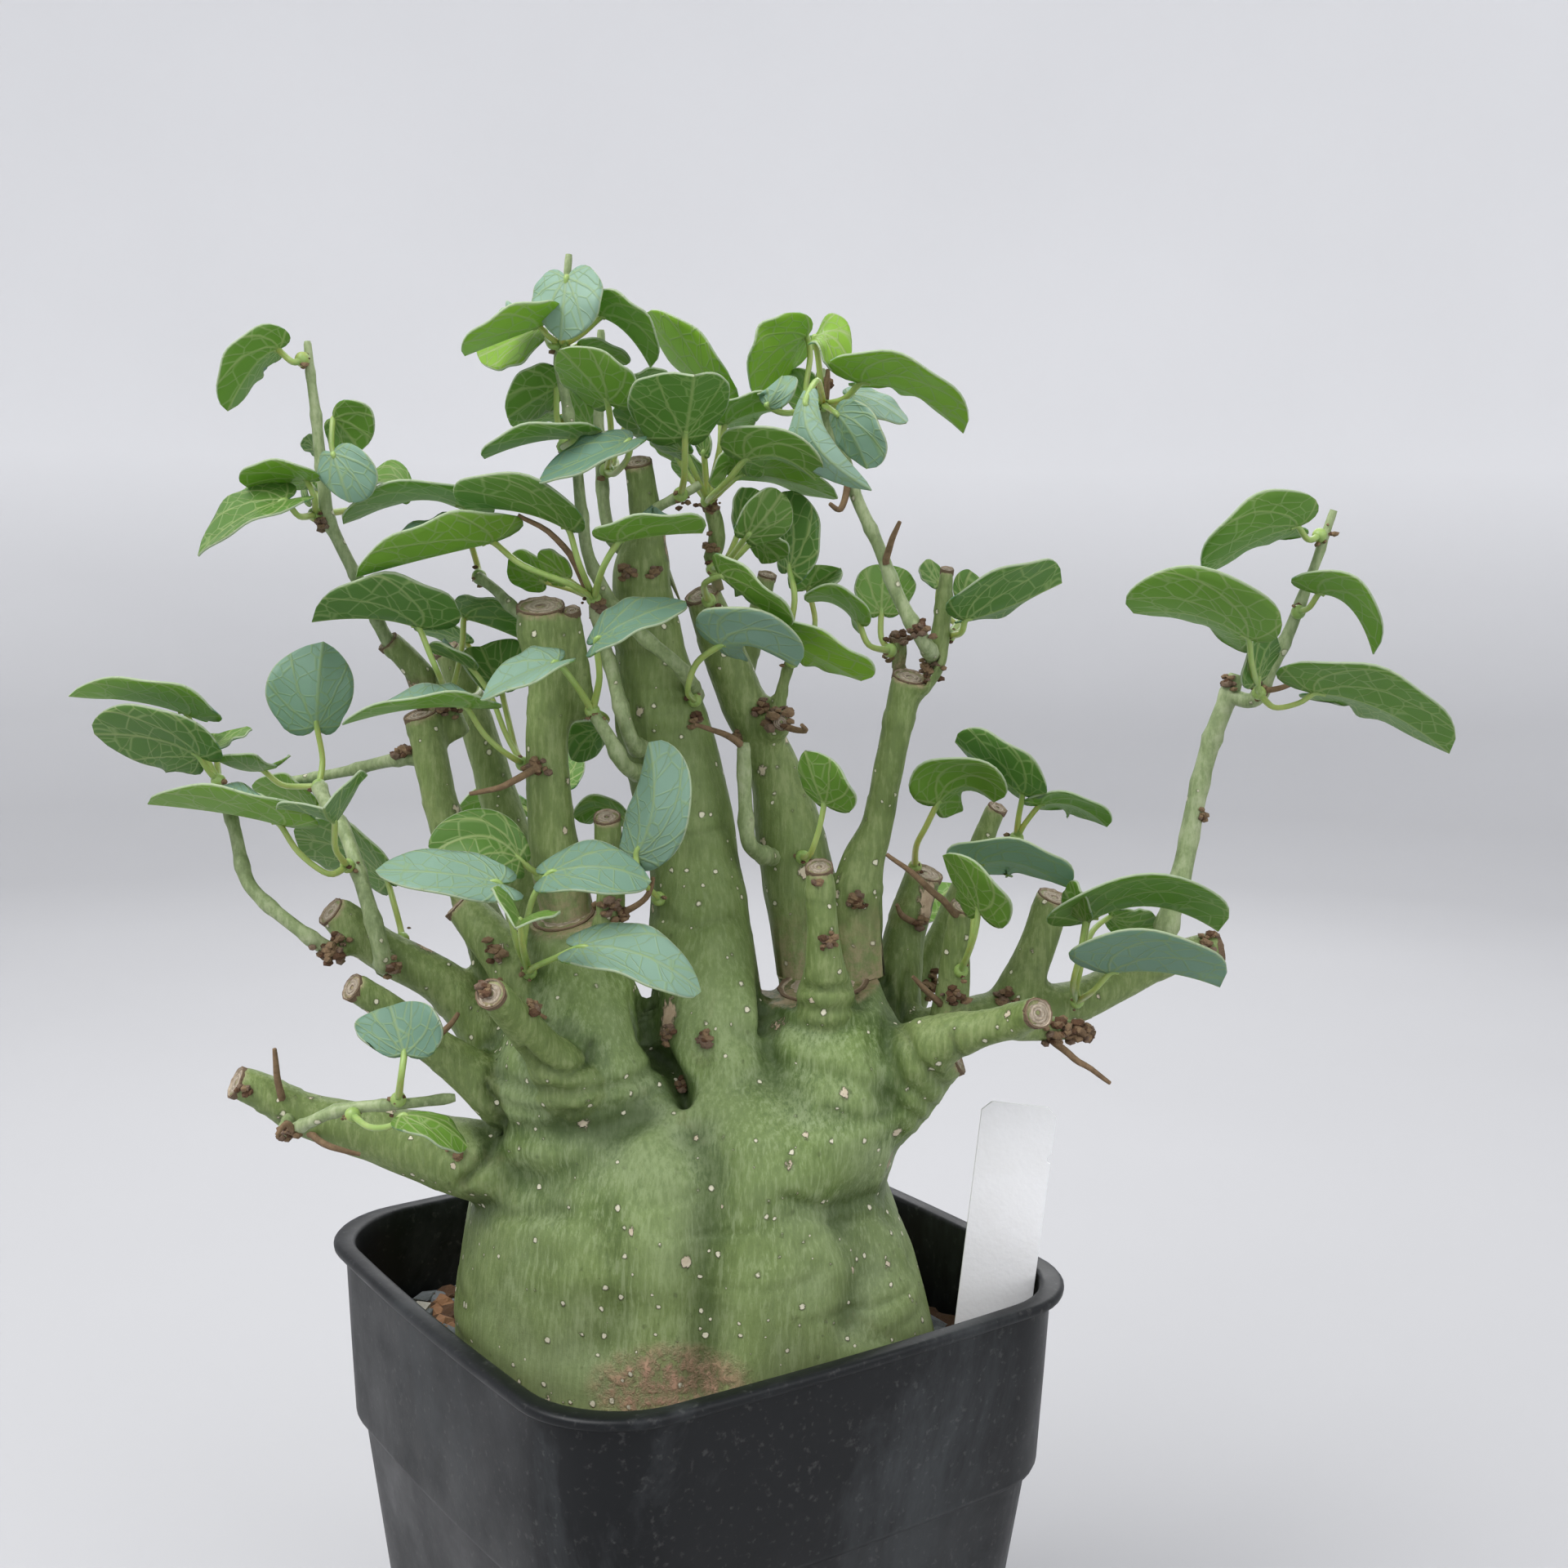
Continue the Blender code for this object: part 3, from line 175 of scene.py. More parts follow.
# %% Helpers for materials
def add_node(tree, kind, inputs=(), **settings):
    """Adds a node; an input takes a plain value or another node's socket."""
    made = tree.nodes.new("ShaderNode" + kind)
    for name, value in settings.items():
        setattr(made, name, value)
    for name, value in dict(inputs).items():
        if isinstance(value, bpy.types.NodeSocket):
            tree.links.new(value, made.inputs[name])
        else:
            made.inputs[name].default_value = value
    return made


def noise_node(tree, vector, scale, detail=4.0, roughness=0.5, distortion=0.0):
    return add_node(tree, "TexNoise", {"Vector": vector, "Scale": scale, "Detail": detail,
                                       "Roughness": roughness, "Distortion": distortion}).outputs["Fac"]


def ramp(tree, factor, *stops):
    """A colour or grey ramp; each stop is a place and a colour, or a place and a number."""
    made = add_node(tree, "ValToRGB", {"Fac": factor})
    elements = made.color_ramp.elements
    while len(elements) < len(stops):
        elements.new(1.0)
    for element, (place, colour) in zip(elements, stops):
        element.position = place
        element.color = (*colour, 1.0) if isinstance(colour, tuple) else (colour, colour, colour, 1.0)
    return made.outputs["Color"]


def mix(tree, factor, first, second, blend="MIX"):
    made = tree.nodes.new("ShaderNodeMix")
    made.data_type = "RGBA"
    made.blend_type = blend
    for socket, value in ((made.inputs[0], factor), (made.inputs[6], first), (made.inputs[7], second)):
        if isinstance(value, bpy.types.NodeSocket):
            tree.links.new(value, socket)
        elif isinstance(value, tuple):
            socket.default_value = (*value, 1.0)
        else:
            socket.default_value = value
    return made.outputs[2]


def math_node(tree, operation, first, second=0.0):
    made = tree.nodes.new("ShaderNodeMath")
    made.operation = operation
    for socket, value in zip(made.inputs, (first, second)):
        if isinstance(value, bpy.types.NodeSocket):
            tree.links.new(value, socket)
        else:
            socket.default_value = value
    return made.outputs[0]


def stretched(tree, vector, scale):
    """The same places, stretched by three numbers."""
    return add_node(tree, "Mapping", {"Vector": vector, "Scale": scale}).outputs["Vector"]


def bumped(tree, height, distance, strength=1.0):
    return add_node(tree, "Bump", {"Height": height, "Distance": distance, "Strength": strength}).outputs["Normal"]


def new_material(name, roughness, **values):
    """A material and its tree, its main shader and the piece's own places."""
    material = bpy.data.materials.new(name)
    material.use_nodes = True
    tree = material.node_tree
    shader = tree.nodes["Principled BSDF"]
    shader.inputs["Roughness"].default_value = roughness
    for socket, value in values.items():
        shader.inputs[socket.replace("_", " ")].default_value = value
    places = add_node(tree, "TexCoord").outputs["Object"]
    return material, tree, shader, places


def attribute_node(tree, name):
    return add_node(tree, "Attribute", attribute_name=name).outputs["Fac"]


def new_group(name, inputs, outputs):
    """A node group with named inputs and outputs."""
    group = bpy.data.node_groups.new(name, "ShaderNodeTree")
    for socket, kind in inputs:
        group.interface.new_socket(socket, in_out="INPUT", socket_type="NodeSocket" + kind)
    for socket, kind in outputs:
        group.interface.new_socket(socket, in_out="OUTPUT", socket_type="NodeSocket" + kind)
    return group, group.nodes.new("NodeGroupInput"), group.nodes.new("NodeGroupOutput")


def use_group(tree, group, inputs):
    made = tree.nodes.new("ShaderNodeGroup")
    made.node_tree = group
    for name, value in inputs.items():
        if isinstance(value, bpy.types.NodeSocket):
            tree.links.new(value, made.inputs[name])
        elif isinstance(value, tuple) and len(value) == 3 and made.inputs[name].type == "RGBA":
            made.inputs[name].default_value = (*value, 1.0)
        else:
            made.inputs[name].default_value = value
    return made


# %% [markdown]
# Bark, shoots and cut wood share one effect: a mottled colour crossed by fine streaks that run along
# the growth. It is a node group, built once, and each material gives it its own colours and scales.

# %% Mottled and streaked colour
mottle, group_in, group_out = new_group(
    "MottledStreaks",
    (("Vector", "Vector"), ("Patch Scale", "Float"), ("Streak Scale", "Float"), ("Streak Length", "Float"),
     ("Dark", "Color"), ("Middle", "Color"), ("Light", "Color"), ("Streak Strength", "Float")),
    (("Color", "Color"), ("Height", "Float")))
patches = noise_node(mottle, group_in.outputs["Vector"], 1.0, 7.0, 0.72, 0.3)
mottle.links.new(group_in.outputs["Patch Scale"], patches.node.inputs["Scale"])
low_half = ramp(mottle, patches, (0.30, 0.0), (0.50, 1.0))
high_half = ramp(mottle, patches, (0.50, 0.0), (0.72, 1.0))
base = mix(mottle, low_half, group_in.outputs["Dark"], group_in.outputs["Middle"])
base = mix(mottle, high_half, base, group_in.outputs["Light"])
long_way = add_node(mottle, "CombineXYZ", {"X": 1.0, "Y": 1.0, "Z": group_in.outputs["Streak Length"]}).outputs[0]
streak_places = add_node(mottle, "VectorMath", {0: group_in.outputs["Vector"], 1: long_way}, operation="MULTIPLY")
streaks = noise_node(mottle, streak_places.outputs[0], 1.0, 3.0, 0.7)
mottle.links.new(group_in.outputs["Streak Scale"], streaks.node.inputs["Scale"])
dark_streaks = math_node(mottle, "MULTIPLY", ramp(mottle, streaks, (0.39, 1.0), (0.50, 0.0)),
                         group_in.outputs["Streak Strength"])
light_streaks = math_node(mottle, "MULTIPLY", ramp(mottle, streaks, (0.52, 0.0), (0.62, 1.0)),
                          group_in.outputs["Streak Strength"])
base = mix(mottle, dark_streaks, base, group_in.outputs["Dark"])
mottle.links.new(mix(mottle, light_streaks, base, group_in.outputs["Light"]), group_out.inputs["Color"])
mottle.links.new(streaks, group_out.inputs["Height"])
print("group", mottle.name)

# %% [markdown]
# Lengths of round things, the arms, shoots and leaf stalks, are drawn as curves with a radius at each
# point and turned into meshes. A curve keeps its rings square to its path with no twist, which is
# quick to get right.

# %% Draw a round stem along a path
def catmull(before, start, end, after, t):
    return 0.5 * (2 * start + (end - before) * t + (2 * before - 5 * start + 4 * end - after) * t * t
                  + (3 * start - before - 3 * end + after) * t ** 3)


def smooth_path(points, radii, pieces):
    """A rounder path through the same points, each run cut into pieces."""
    path = []
    for i in range(len(points) - 1):
        before = points[max(i - 1, 0)]
        after = points[min(i + 2, len(points) - 1)]
        for step in range(pieces):
            t = step / pieces
            path.append((catmull(before, points[i], points[i + 1], after, t),
                         radii[i] + (radii[i + 1] - radii[i]) * t))
    path.append((points[-1], radii[-1]))
    return [point for point, _ in path], [radius for _, radius in path]


def seen_path(places):
    """Points and radii of a limb or shoot from its places in the photograph."""
    points = [seen(column, row, behind) for column, row, behind, _ in places]
    return points, [real_radius(place[3], point) for place, point in zip(places, points)]


def stem(name, points, radii, roundness=3):
    """A round stem with closed ends, as a mesh; roundness 1 gives eight sides and 3 gives sixteen."""
    curve = bpy.data.curves.new(name, "CURVE")
    curve.dimensions = "3D"
    curve.bevel_depth = 1.0
    curve.bevel_resolution = roundness
    curve.use_fill_caps = True
    spline = curve.splines.new("POLY")
    spline.points.add(len(points) - 1)
    for spot, point, radius in zip(spline.points, points, radii):
        spot.co = (*point, 1.0)
        spot.radius = radius
    obj = bpy.data.objects.new(name, curve)
    bpy.context.collection.objects.link(obj)
    pick(obj)
    bpy.ops.object.convert(target="MESH")
    return bpy.context.object


# %% [markdown]
# The pot is a square nursery pot of thin black plastic: a tapered wall, a step where pots stack, and
# a rolled lip. It could be lofted in code, but by hand it is one rounded square that is extruded and
# scaled ring by ring, up the outside, over the lip and down the inside, which gives the wall its
# thickness at once.

# %% Model the pot
POT_HEIGHT = 0.150
RIM_HALF = 0.075
WALL = 0.0014
FLOOR = 0.0025
LEDGE_Z = 0.1015
CORNER_RATIO = 0.30
SIDE_BOW = 0.035
DRAIN_RADIUS = 0.006
DRAIN_PLACE = 0.038
POT_RINGS = (
    (0.0555, 0.0), (0.0567, 0.0004), (0.0572, 0.0015), (0.0630, 0.052), (0.0686, 0.1000), (0.0692, 0.1008),
    (0.0703, 0.1018), (0.0707, 0.1030), (0.0716, 0.1240), (0.0725, 0.1472), (0.0743, 0.1473), (0.0749, 0.1476),
    (0.0751, 0.1483), (0.0751, 0.1492), (0.0747, 0.1498), (0.0740, 0.1500), (0.0714, 0.1500), (0.0707, 0.1497),
    (0.0704, 0.1490), (0.0702, 0.1440), (0.0693, 0.1033), (0.0686, 0.1020), (0.0676, 0.1005), (0.0673, 0.0990),
    (0.0620, 0.0500), (0.0562, FLOOR),
)
half, height = POT_RINGS[0]
bpy.ops.object.select_all(action="DESELECT")
bpy.ops.mesh.primitive_plane_add(size=2 * half)
pot = bpy.context.object
bpy.ops.object.mode_set(mode="EDIT")
bpy.ops.mesh.bevel(offset=CORNER_RATIO * half, segments=10, affect="VERTICES")
work = bmesh.from_edit_mesh(pot.data)
for edge in work.edges:
    edge.select_set(edge.calc_length() > half)
bpy.ops.mesh.subdivide(number_cuts=13)
work = bmesh.from_edit_mesh(pot.data)
for vertex in work.verts:
    x, y = vertex.co.x / half, vertex.co.y / half
    vertex.co.x *= 1 + SIDE_BOW * (1 - y * y)
    vertex.co.y *= 1 + SIDE_BOW * (1 - x * x)
bpy.ops.mesh.select_all(action="SELECT")
for (old_half, old_height), (new_half, new_height) in zip(POT_RINGS, POT_RINGS[1:]):
    bpy.ops.mesh.extrude_region_move(TRANSFORM_OT_translate={"value": (0, 0, new_height - old_height)})
    ratio = new_half / old_half
    bpy.ops.transform.resize(value=(ratio, ratio, 1), center_override=(0, 0, new_height))
bpy.ops.mesh.select_all(action="SELECT")
bpy.ops.mesh.normals_make_consistent(inside=False)
bpy.ops.object.mode_set(mode="OBJECT")
for x, y in ((1, 1), (1, -1), (-1, 1), (-1, -1)):
    bpy.ops.mesh.primitive_cylinder_add(vertices=32, radius=DRAIN_RADIUS, depth=4 * FLOOR,
                                        location=(x * DRAIN_PLACE, y * DRAIN_PLACE, 0))
    drain = bpy.context.object
    cut = pot.modifiers.new("Drain", "BOOLEAN")
    cut.object = drain
    apply_modifiers(pot)
    bpy.data.objects.remove(drain)
pick(pot)
bpy.ops.object.shade_smooth_by_angle(angle=math.radians(50))
finish_piece(pot, "pot_shell", ["pot"])

# %% [markdown]
# The plastic is a soft satin black. Watering has left thin pale smudges of lime on the wall, mostly
# below the lip, and handling has scuffed it, so both its colour and its gloss vary.

# %% Black nursery plastic
plastic, tree, shader, places = new_material("black_nursery_plastic", 0.4, Specular_IOR_Level=0.28)
smudge = noise_node(tree, stretched(tree, places, (16, 16, 9)), 1.0, 8.0, 0.7, 0.6)
smudge = ramp(tree, smudge, (0.50, 0.0), (0.78, 1.0))
speck = noise_node(tree, places, 520.0, 2.0, 0.6)
speck = ramp(tree, speck, (0.60, 0.0), (0.75, 1.0))
film = math_node(tree, "MULTIPLY", smudge, 0.30)
colour = mix(tree, film, (0.0045, 0.0055, 0.0065), (0.20, 0.22, 0.23))
colour = mix(tree, math_node(tree, "MULTIPLY", speck, 0.07), colour, (0.45, 0.44, 0.42))
tree.links.new(colour, shader.inputs["Base Color"])
gloss = ramp(tree, noise_node(tree, places, 45.0, 5.0, 0.6), (0.3, 0.34), (0.7, 0.52))
tree.links.new(mix(tree, smudge, gloss, (0.66, 0.66, 0.66)), shader.inputs["Roughness"])
ripple = noise_node(tree, stretched(tree, places, (1, 1, 0.35)), 26.0, 2.0, 0.5)
grain = noise_node(tree, places, 900.0, 2.0, 0.5)
tree.links.new(bumped(tree, math_node(tree, "ADD", ripple, math_node(tree, "MULTIPLY", grain, 0.02)), 0.0012, 0.7),
               shader.inputs["Normal"])
pot.data.materials.clear()
pot.data.materials.append(plastic)

# %% [markdown]
# The caudex is one grown body: a swollen trunk and the arms that were pruned back. Sculpting it by
# hand would take days. Round stems along each arm, melted together by a voxel remesh and softened,
# give the smooth swellings where arms leave the trunk. The outline is: row, left column, right column
# and half depth. An arm is: column, row, depth behind the axis and half width, from root to end.

# %% Places of the trunk and its arms
TRUNK = (
    (1705, 600, 1112, 42), (1680, 575, 1135, 47), (1640, 557, 1147, 50), (1590, 560, 1138, 50),
    (1540, 566, 1124, 50), (1490, 572, 1106, 49), (1450, 578, 1091, 47), (1418, 590, 1083, 45),
    (1380, 604, 1115, 43), (1345, 612, 1140, 40), (1310, 635, 1130, 34), (1275, 690, 1080, 24),
)
LIMBS = {
    "left_lobe": ((735, 1440, -8, 100), (715, 1360, -16, 112), (712, 1300, -18, 104), (712, 1240, -17, 84),
                  (702, 1180, -15, 60), (690, 1110, -14, 40)),
    "left_vertical": ((690, 1130, -14, 42), (684, 1083, -15, 37), (674, 1000, -16, 29), (670, 907, -16, 27),
                      (675, 828, -16, 29), (664, 775, -16, 32), (662, 733, -16, 31)),
    "left_side_stub": ((715, 1180, -14, 40), (738, 1120, -16, 28), (745, 1060, -18, 20), (743, 995, -20, 17)),
    "column": ((880, 1430, -8, 105), (882, 1340, -12, 92), (872, 1240, -8, 78), (862, 1150, -4, 66),
               (850, 1050, 0, 56), (832, 960, 2, 58), (812, 880, 2, 58), (797, 800, 0, 43),
               (786, 720, -2, 37), (788, 682, -3, 33), (792, 650, -4, 22), (786, 600, -5, 19),
               (781, 560, -6, 18)),
    "right_lobe": ((985, 1450, -2, 100), (1000, 1370, -8, 116), (1015, 1300, -8, 104), (1012, 1230, -4, 76),
                   (1008, 1190, -2, 58)),
    "right_shoulder": ((1040, 1370, -6, 80), (1100, 1325, -10, 66), (1140, 1295, -12, 48),
      (1168, 1280, -12, 34)),
    "right_central": ((1005, 1220, 8, 52), (985, 1120, 10, 46), (968, 1030, 10, 44), (950, 950, 10, 33),
                      (930, 900, 9, 30), (906, 850, 8, 29), (882, 785, 6, 27), (859, 722, 4, 22)),
    "right_central_knot": ((935, 900, 8, 24), (954, 886, 0, 17), (957, 884, -4, 11)),
    "right_vertical": ((1035, 1210, 4, 42), (1046, 1120, 2, 36), (1054, 1063, 2, 29), (1074, 1010, 2, 20),
                       (1092, 920, 2, 19), (1108, 850, 2, 21), (1114, 822, 2, 22)),
    "front_right_stub": ((1012, 1250, -16, 48), (1010, 1185, -22, 26), (1007, 1140, -24, 21),
      (1003, 1056, -26, 18)),
    "dark_stub": ((1092, 1240, 10, 36), (1108, 1143, 14, 26), (1134, 1062, 16, 23)),
    "grey_shoot": ((1160, 1262, -2, 26), (1168, 1200, -3, 21), (1172, 1150, -4, 18), (1180, 1104, -5, 17)),
    "back_right_shoot": ((1110, 1235, 24, 24), (1140, 1170, 28, 17), (1180, 1082, 30, 15),
      (1222, 985, 30, 13)),
    "long_right_arm": ((1110, 1290, 2, 44), (1182, 1250, 6, 29), (1250, 1238, 9, 28), (1320, 1225, 11, 27),
                       (1372, 1200, 13, 25), (1420, 1178, 14, 22), (1494, 1158, 16, 20)),
    "right_upright": ((1240, 1225, 9, 30), (1262, 1180, 10, 25), (1278, 1135, 11, 23), (1292, 1092, 12, 22)),
    "front_right_arm": ((1110, 1300, -14, 50), (1150, 1275, -20, 34), (1200, 1260, -25, 24),
      (1240, 1250, -30, 22),
                        (1272, 1238, -38, 20)),
    "front_right_knob": ((1245, 1255, -26, 22), (1290, 1260, -22, 16), (1320, 1262, -20, 12),
      (1338, 1270, -20, 9)),
    "low_left_arm": ((690, 1440, -12, 60), (610, 1428, -16, 56), (545, 1412, -18, 47), (463, 1388, -20, 36),
                     (377, 1366, -22, 28), (330, 1342, -24, 24), (288, 1322, -26, 21)),
    "left_arm": ((640, 1310, -10, 50), (580, 1240, -10, 34), (537, 1200, -11, 29), (463, 1160, -13, 27),
                 (425, 1130, -14, 25), (404, 1112, -15, 20)),
    "left_arm_knob": ((440, 1150, -15, 18), (412, 1162, -20, 14), (398, 1168, -24, 10)),
    "left_stub": ((640, 1360, -22, 46), (575, 1312, -24, 30), (527, 1278, -27, 24), (463, 1226, -31, 20),
                  (430, 1206, -34, 18)),
    "front_left_stub": ((700, 1330, -34, 50), (668, 1290, -42, 28), (630, 1245, -54, 23),
      (600, 1213, -64, 20)),
    "left_diagonal": ((670, 1250, -20, 48), (622, 1175, -18, 31), (590, 1135, -14, 28), (560, 1103, -12, 22)),
    "upper_left_arm": ((640, 1220, -8, 42), (590, 1130, -4, 28), (541, 987, 0, 22), (526, 920, 1, 22),
                       (514, 868, 2, 22)),
    "dark_background_arm": ((704, 1290, -4, 50), (676, 1205, 12, 44), (640, 1080, 22, 30),
      (606, 960, 26, 24), (575, 860, 28, 21),
                            (545, 790, 28, 17)),
    "upper_left_stub": ((560, 905, 8, 20), (538, 858, 6, 19), (515, 825, 4, 18), (474, 782, 2, 15)),
    "inner_stub": ((706, 878, -12, 22), (712, 830, -14, 14), (700, 744, -18, 11)),
    "dead_stub_centre": ((905, 840, 14, 16), (922, 775, 16, 14), (940, 700, 16, 12)),
    "brown_shoot_centre": ((860, 745, 4, 15), (866, 700, 2, 13), (878, 656, 0, 12), (868, 614, -2, 10)),
    "right_centre_shoot": ((950, 895, 6, 12), (957, 848, 6, 9), (968, 808, 6, 8), (980, 766, 6, 7)),
    "top_right_fork": ((1112, 850, 2, 18), (1140, 822, 0, 15), (1150, 786, 0, 14), (1160, 694, 0, 9)),
    "top_right_stub": ((1110, 850, 4, 16), (1102, 812, 6, 12), (1100, 775, 6, 12)),
    "back_arm_left": ((720, 1290, 16, 50), (700, 1200, 44, 36), (690, 1090, 62, 24), (680, 1000, 70, 20)),
    "back_arm_centre": ((890, 1320, 20, 56), (880, 1230, 48, 34), (870, 1140, 66, 26), (858, 1060, 74, 22)),
    "back_arm_right": ((1050, 1310, 14, 50), (1070, 1260, 42, 34), (1085, 1205, 62, 24),
      (1094, 1160, 74, 19)),
    "back_arm_low": ((930, 1390, 24, 50), (925, 1350, 54, 30), (915, 1310, 76, 20)),
}
print(len(LIMBS), "arms")

# %% Melt the trunk and its arms together
CAUDEX_VOXEL = 0.00125
MOST_TRIANGLES = 190000
rings = []
for row, left, right, half_depth in TRUNK:
    middle = seen((left + right) / 2, row, 0.0)
    half_width = real_radius((right - left) / 2, middle)
    side = Vector((AWAY.y, -AWAY.x, 0.0))
    rings.append([middle + side * half_width * math.cos(a) + AWAY * half_depth * MM * math.sin(a)
                  for a in (2 * math.pi * step / 40 for step in range(40))])
trunk_mesh = bpy.data.meshes.new("trunk")
trunk_faces = [(r * 40 + i, r * 40 + (i + 1) % 40, r * 40 + 40 + (i + 1) % 40, r * 40 + 40 + i)
               for r in range(len(rings) - 1) for i in range(40)]
trunk_faces += [tuple(reversed(range(40))), tuple(range(len(rings) * 40 - 40, len(rings) * 40))]
trunk_mesh.from_pydata([point for ring in rings for point in ring], [], trunk_faces)
trunk = bpy.data.objects.new("trunk", trunk_mesh)
bpy.context.collection.objects.link(trunk)
parts = [trunk]
arm_paths = {}
for limb, limb_places in LIMBS.items():
    arm_paths[limb] = smooth_path(*seen_path(limb_places), 4)
    parts.append(stem(limb, *arm_paths[limb], roundness=4))
caudex = join_all(parts, "grown_caudex")
bpy.ops.object.mode_set(mode="EDIT")
bpy.ops.mesh.select_all(action="SELECT")
bpy.ops.mesh.normals_make_consistent(inside=False)
bpy.ops.object.mode_set(mode="OBJECT")
melt = caudex.modifiers.new("Melt", "REMESH")
melt.mode = "VOXEL"
melt.voxel_size = CAUDEX_VOXEL
soften = caudex.modifiers.new("Soften", "SMOOTH")
soften.factor = 0.5
soften.iterations = 7
apply_modifiers(caudex)
print(len(caudex.data.polygons), "faces after melting")

# %% [markdown]
# Each point of the bark needs to know where it is on the plant: how thick the arm is there, how far
# along the arm, and how near a pruned end. The nearest place on any arm's path tells all three.

# %% Measure every point against the nearest arm
def points_of(obj):
    points = np.empty(len(obj.data.vertices) * 3)
    obj.data.vertices.foreach_get("co", points)
    return points.reshape(-1, 3)


def normals_of(obj):
    normals = np.empty(len(obj.data.vertices) * 3, dtype=np.float32)
    obj.data.vertex_normals.foreach_get("vector", normals)
    return normals.reshape(-1, 3).astype(float)


samples = []
for limb, (path, radii) in arm_paths.items():
    travelled = 0.0
    for i, (point, radius) in enumerate(zip(path, radii)):
        travelled += (point - path[i - 1]).length if i else 0.0
        samples.append((*point, radius, travelled, float(i == len(path) - 1)))
samples = np.array(samples)


def nearest_arm(points):
    """For each point: index of the arm sample whose surface is nearest, and the distance to it."""
    best = np.empty(len(points), dtype=int)
    reach = np.empty(len(points))
    for first in range(0, len(points), 20000):
        some = points[first:first + 20000]
        apart = np.linalg.norm(some[:, None, :] - samples[None, :, :3], axis=2) - samples[None, :, 3]
        best[first:first + 20000] = apart.argmin(axis=1)
        reach[first:first + 20000] = apart.min(axis=1)
    return best, reach


skin = points_of(caudex)
nearest, reach = nearest_arm(skin)
thickness = samples[nearest, 3]
along = samples[nearest, 4]
slender = np.clip((0.016 - thickness) / 0.009, 0.0, 1.0)
print("slender points:", int((slender > 0.5).sum()), "of", len(skin))

# %% [markdown]
# The bark is not smooth. Folds wrap round where an arm swells out of the trunk, two deep creases run
# up the front, arms carry old leaf rings, and the whole skin is slightly lumpy. The points are moved
# along their normals, because a fold must follow the arm that it sits on. Shade is painted into the
# creases and wrinkles as well. The creases' places were read off the photograph: column and row along
# each, how deep in millimetres, how wide, and how much painted shade it gets.

# %% Fold and crease the bark, with painted shade in the creases
CREASES = (
    (((788, 1215), (798, 1270), (822, 1310), (838, 1342)), 6.5, 9, 1.0),
    (((836, 1335), (800, 1362), (740, 1385), (660, 1392), (600, 1380)), 2.2, 16, 0.25),
    (((850, 1390), (874, 1450), (868, 1530), (868, 1620), (860, 1700)), 4.5, 34, 0.18),
    (((604, 1312), (640, 1334), (700, 1340), (770, 1326), (812, 1298)), 1.5, 7, 0.35),
    (((600, 1345), (650, 1364), (720, 1366), (790, 1346), (828, 1322)), 1.0, 6, 0.25),
    (((640, 1288), (664, 1310), (700, 1316), (724, 1300), (726, 1276)), 1.8, 5, 0.55),
    (((596, 1330), (610, 1370), (596, 1420), (566, 1450)), 2.2, 7, 0.55),
    (((1112, 1195), (1104, 1250), (1122, 1300), (1165, 1335)), 1.6, 6, 0.40),
    (((1090, 1228), (1084, 1280), (1108, 1330), (1150, 1362)), 1.1, 6, 0.30),
    (((1066, 1262), (1066, 1300), (1090, 1345), (1136, 1382)), 0.9, 6, 0.20),
    (((905, 1262), (950, 1300), (1030, 1318), (1085, 1345)), 1.2, 12, 0.18),
    (((958, 1180), (975, 1206), (1010, 1214), (1050, 1204), (1062, 1180)), 1.6, 5, 0.55),
    (((946, 1200), (970, 1230), (1010, 1240), (1060, 1228), (1084, 1200)), 1.1, 6, 0.35),
    (((940, 1236), (975, 1258), (1020, 1262), (1070, 1250)), 0.8, 6, 0.25),
    (((936, 1120), (940, 1180), (936, 1262)), 3.2, 7, 0.95),
    (((960, 1466), (1012, 1482), (1080, 1466)), 1.2, 7, 0.25),
    (((980, 1490), (1030, 1500), (1086, 1486)), 0.7, 5, 0.15),
    (((1010, 1360), (1060, 1374), (1104, 1362)), 0.8, 6, 0.20),
    (((1040, 1500), (1064, 1560), (1050, 1620)), 3.0, 26, 0.15),
    (((575, 1470), (620, 1490), (690, 1486)), 1.0, 10, 0.15),
    (((745, 1500), (756, 1570), (742, 1650)), 1.4, 26, 0.05),
    (((790, 1010), (840, 1024), (890, 1012)), 0.6, 5, 0.30),
    (((800, 1120), (850, 1134), (905, 1120)), 0.6, 6, 0.30),
    (((650, 1140), (690, 1152), (735, 1140)), 0.8, 5, 0.35),
    (((1165, 1262), (1172, 1290), (1190, 1306)), 1.0, 4, 0.50),
)
normals = normals_of(caudex)
columns, rows = picture_places(skin)
facing = np.clip(-(normals @ np.array(FORWARD)) * 2.0, 0.0, 1.0)
near_front = np.clip((0.05 - (skin @ np.array(AWAY))) / 0.03, 0.0, 1.0)
shift = np.zeros(len(skin))
painted_crease_shade = np.zeros(len(skin))
for line, deep, wide, dark in CREASES:
    away = np.full(len(skin), 1e9)
    for (c0, r0), (c1, r1) in zip(line, line[1:]):
        length = (c1 - c0) ** 2 + (r1 - r0) ** 2
        t = np.clip(((columns - c0) * (c1 - c0) + (rows - r0) * (r1 - r0)) / length, 0, 1)
        away = np.minimum(away, np.hypot(columns - c0 - t * (c1 - c0), rows - r0 - t * (r1 - r0)))
    depth = np.exp(-(away / wide) ** 2) * facing * near_front
    shift -= depth * deep * MM
    # Painted shade in the crease, as strong as its last number says.
    painted_crease_shade = np.maximum(painted_crease_shade, depth * dark)


def noise_at(points, scale, offset=0.0):
    """Smooth noise from -1 to 1; scale is one number or three, in waves a metre."""
    scaled = points * np.asarray(scale) + offset
    return np.array([noise.noise(Vector(point)) for point in scaled])


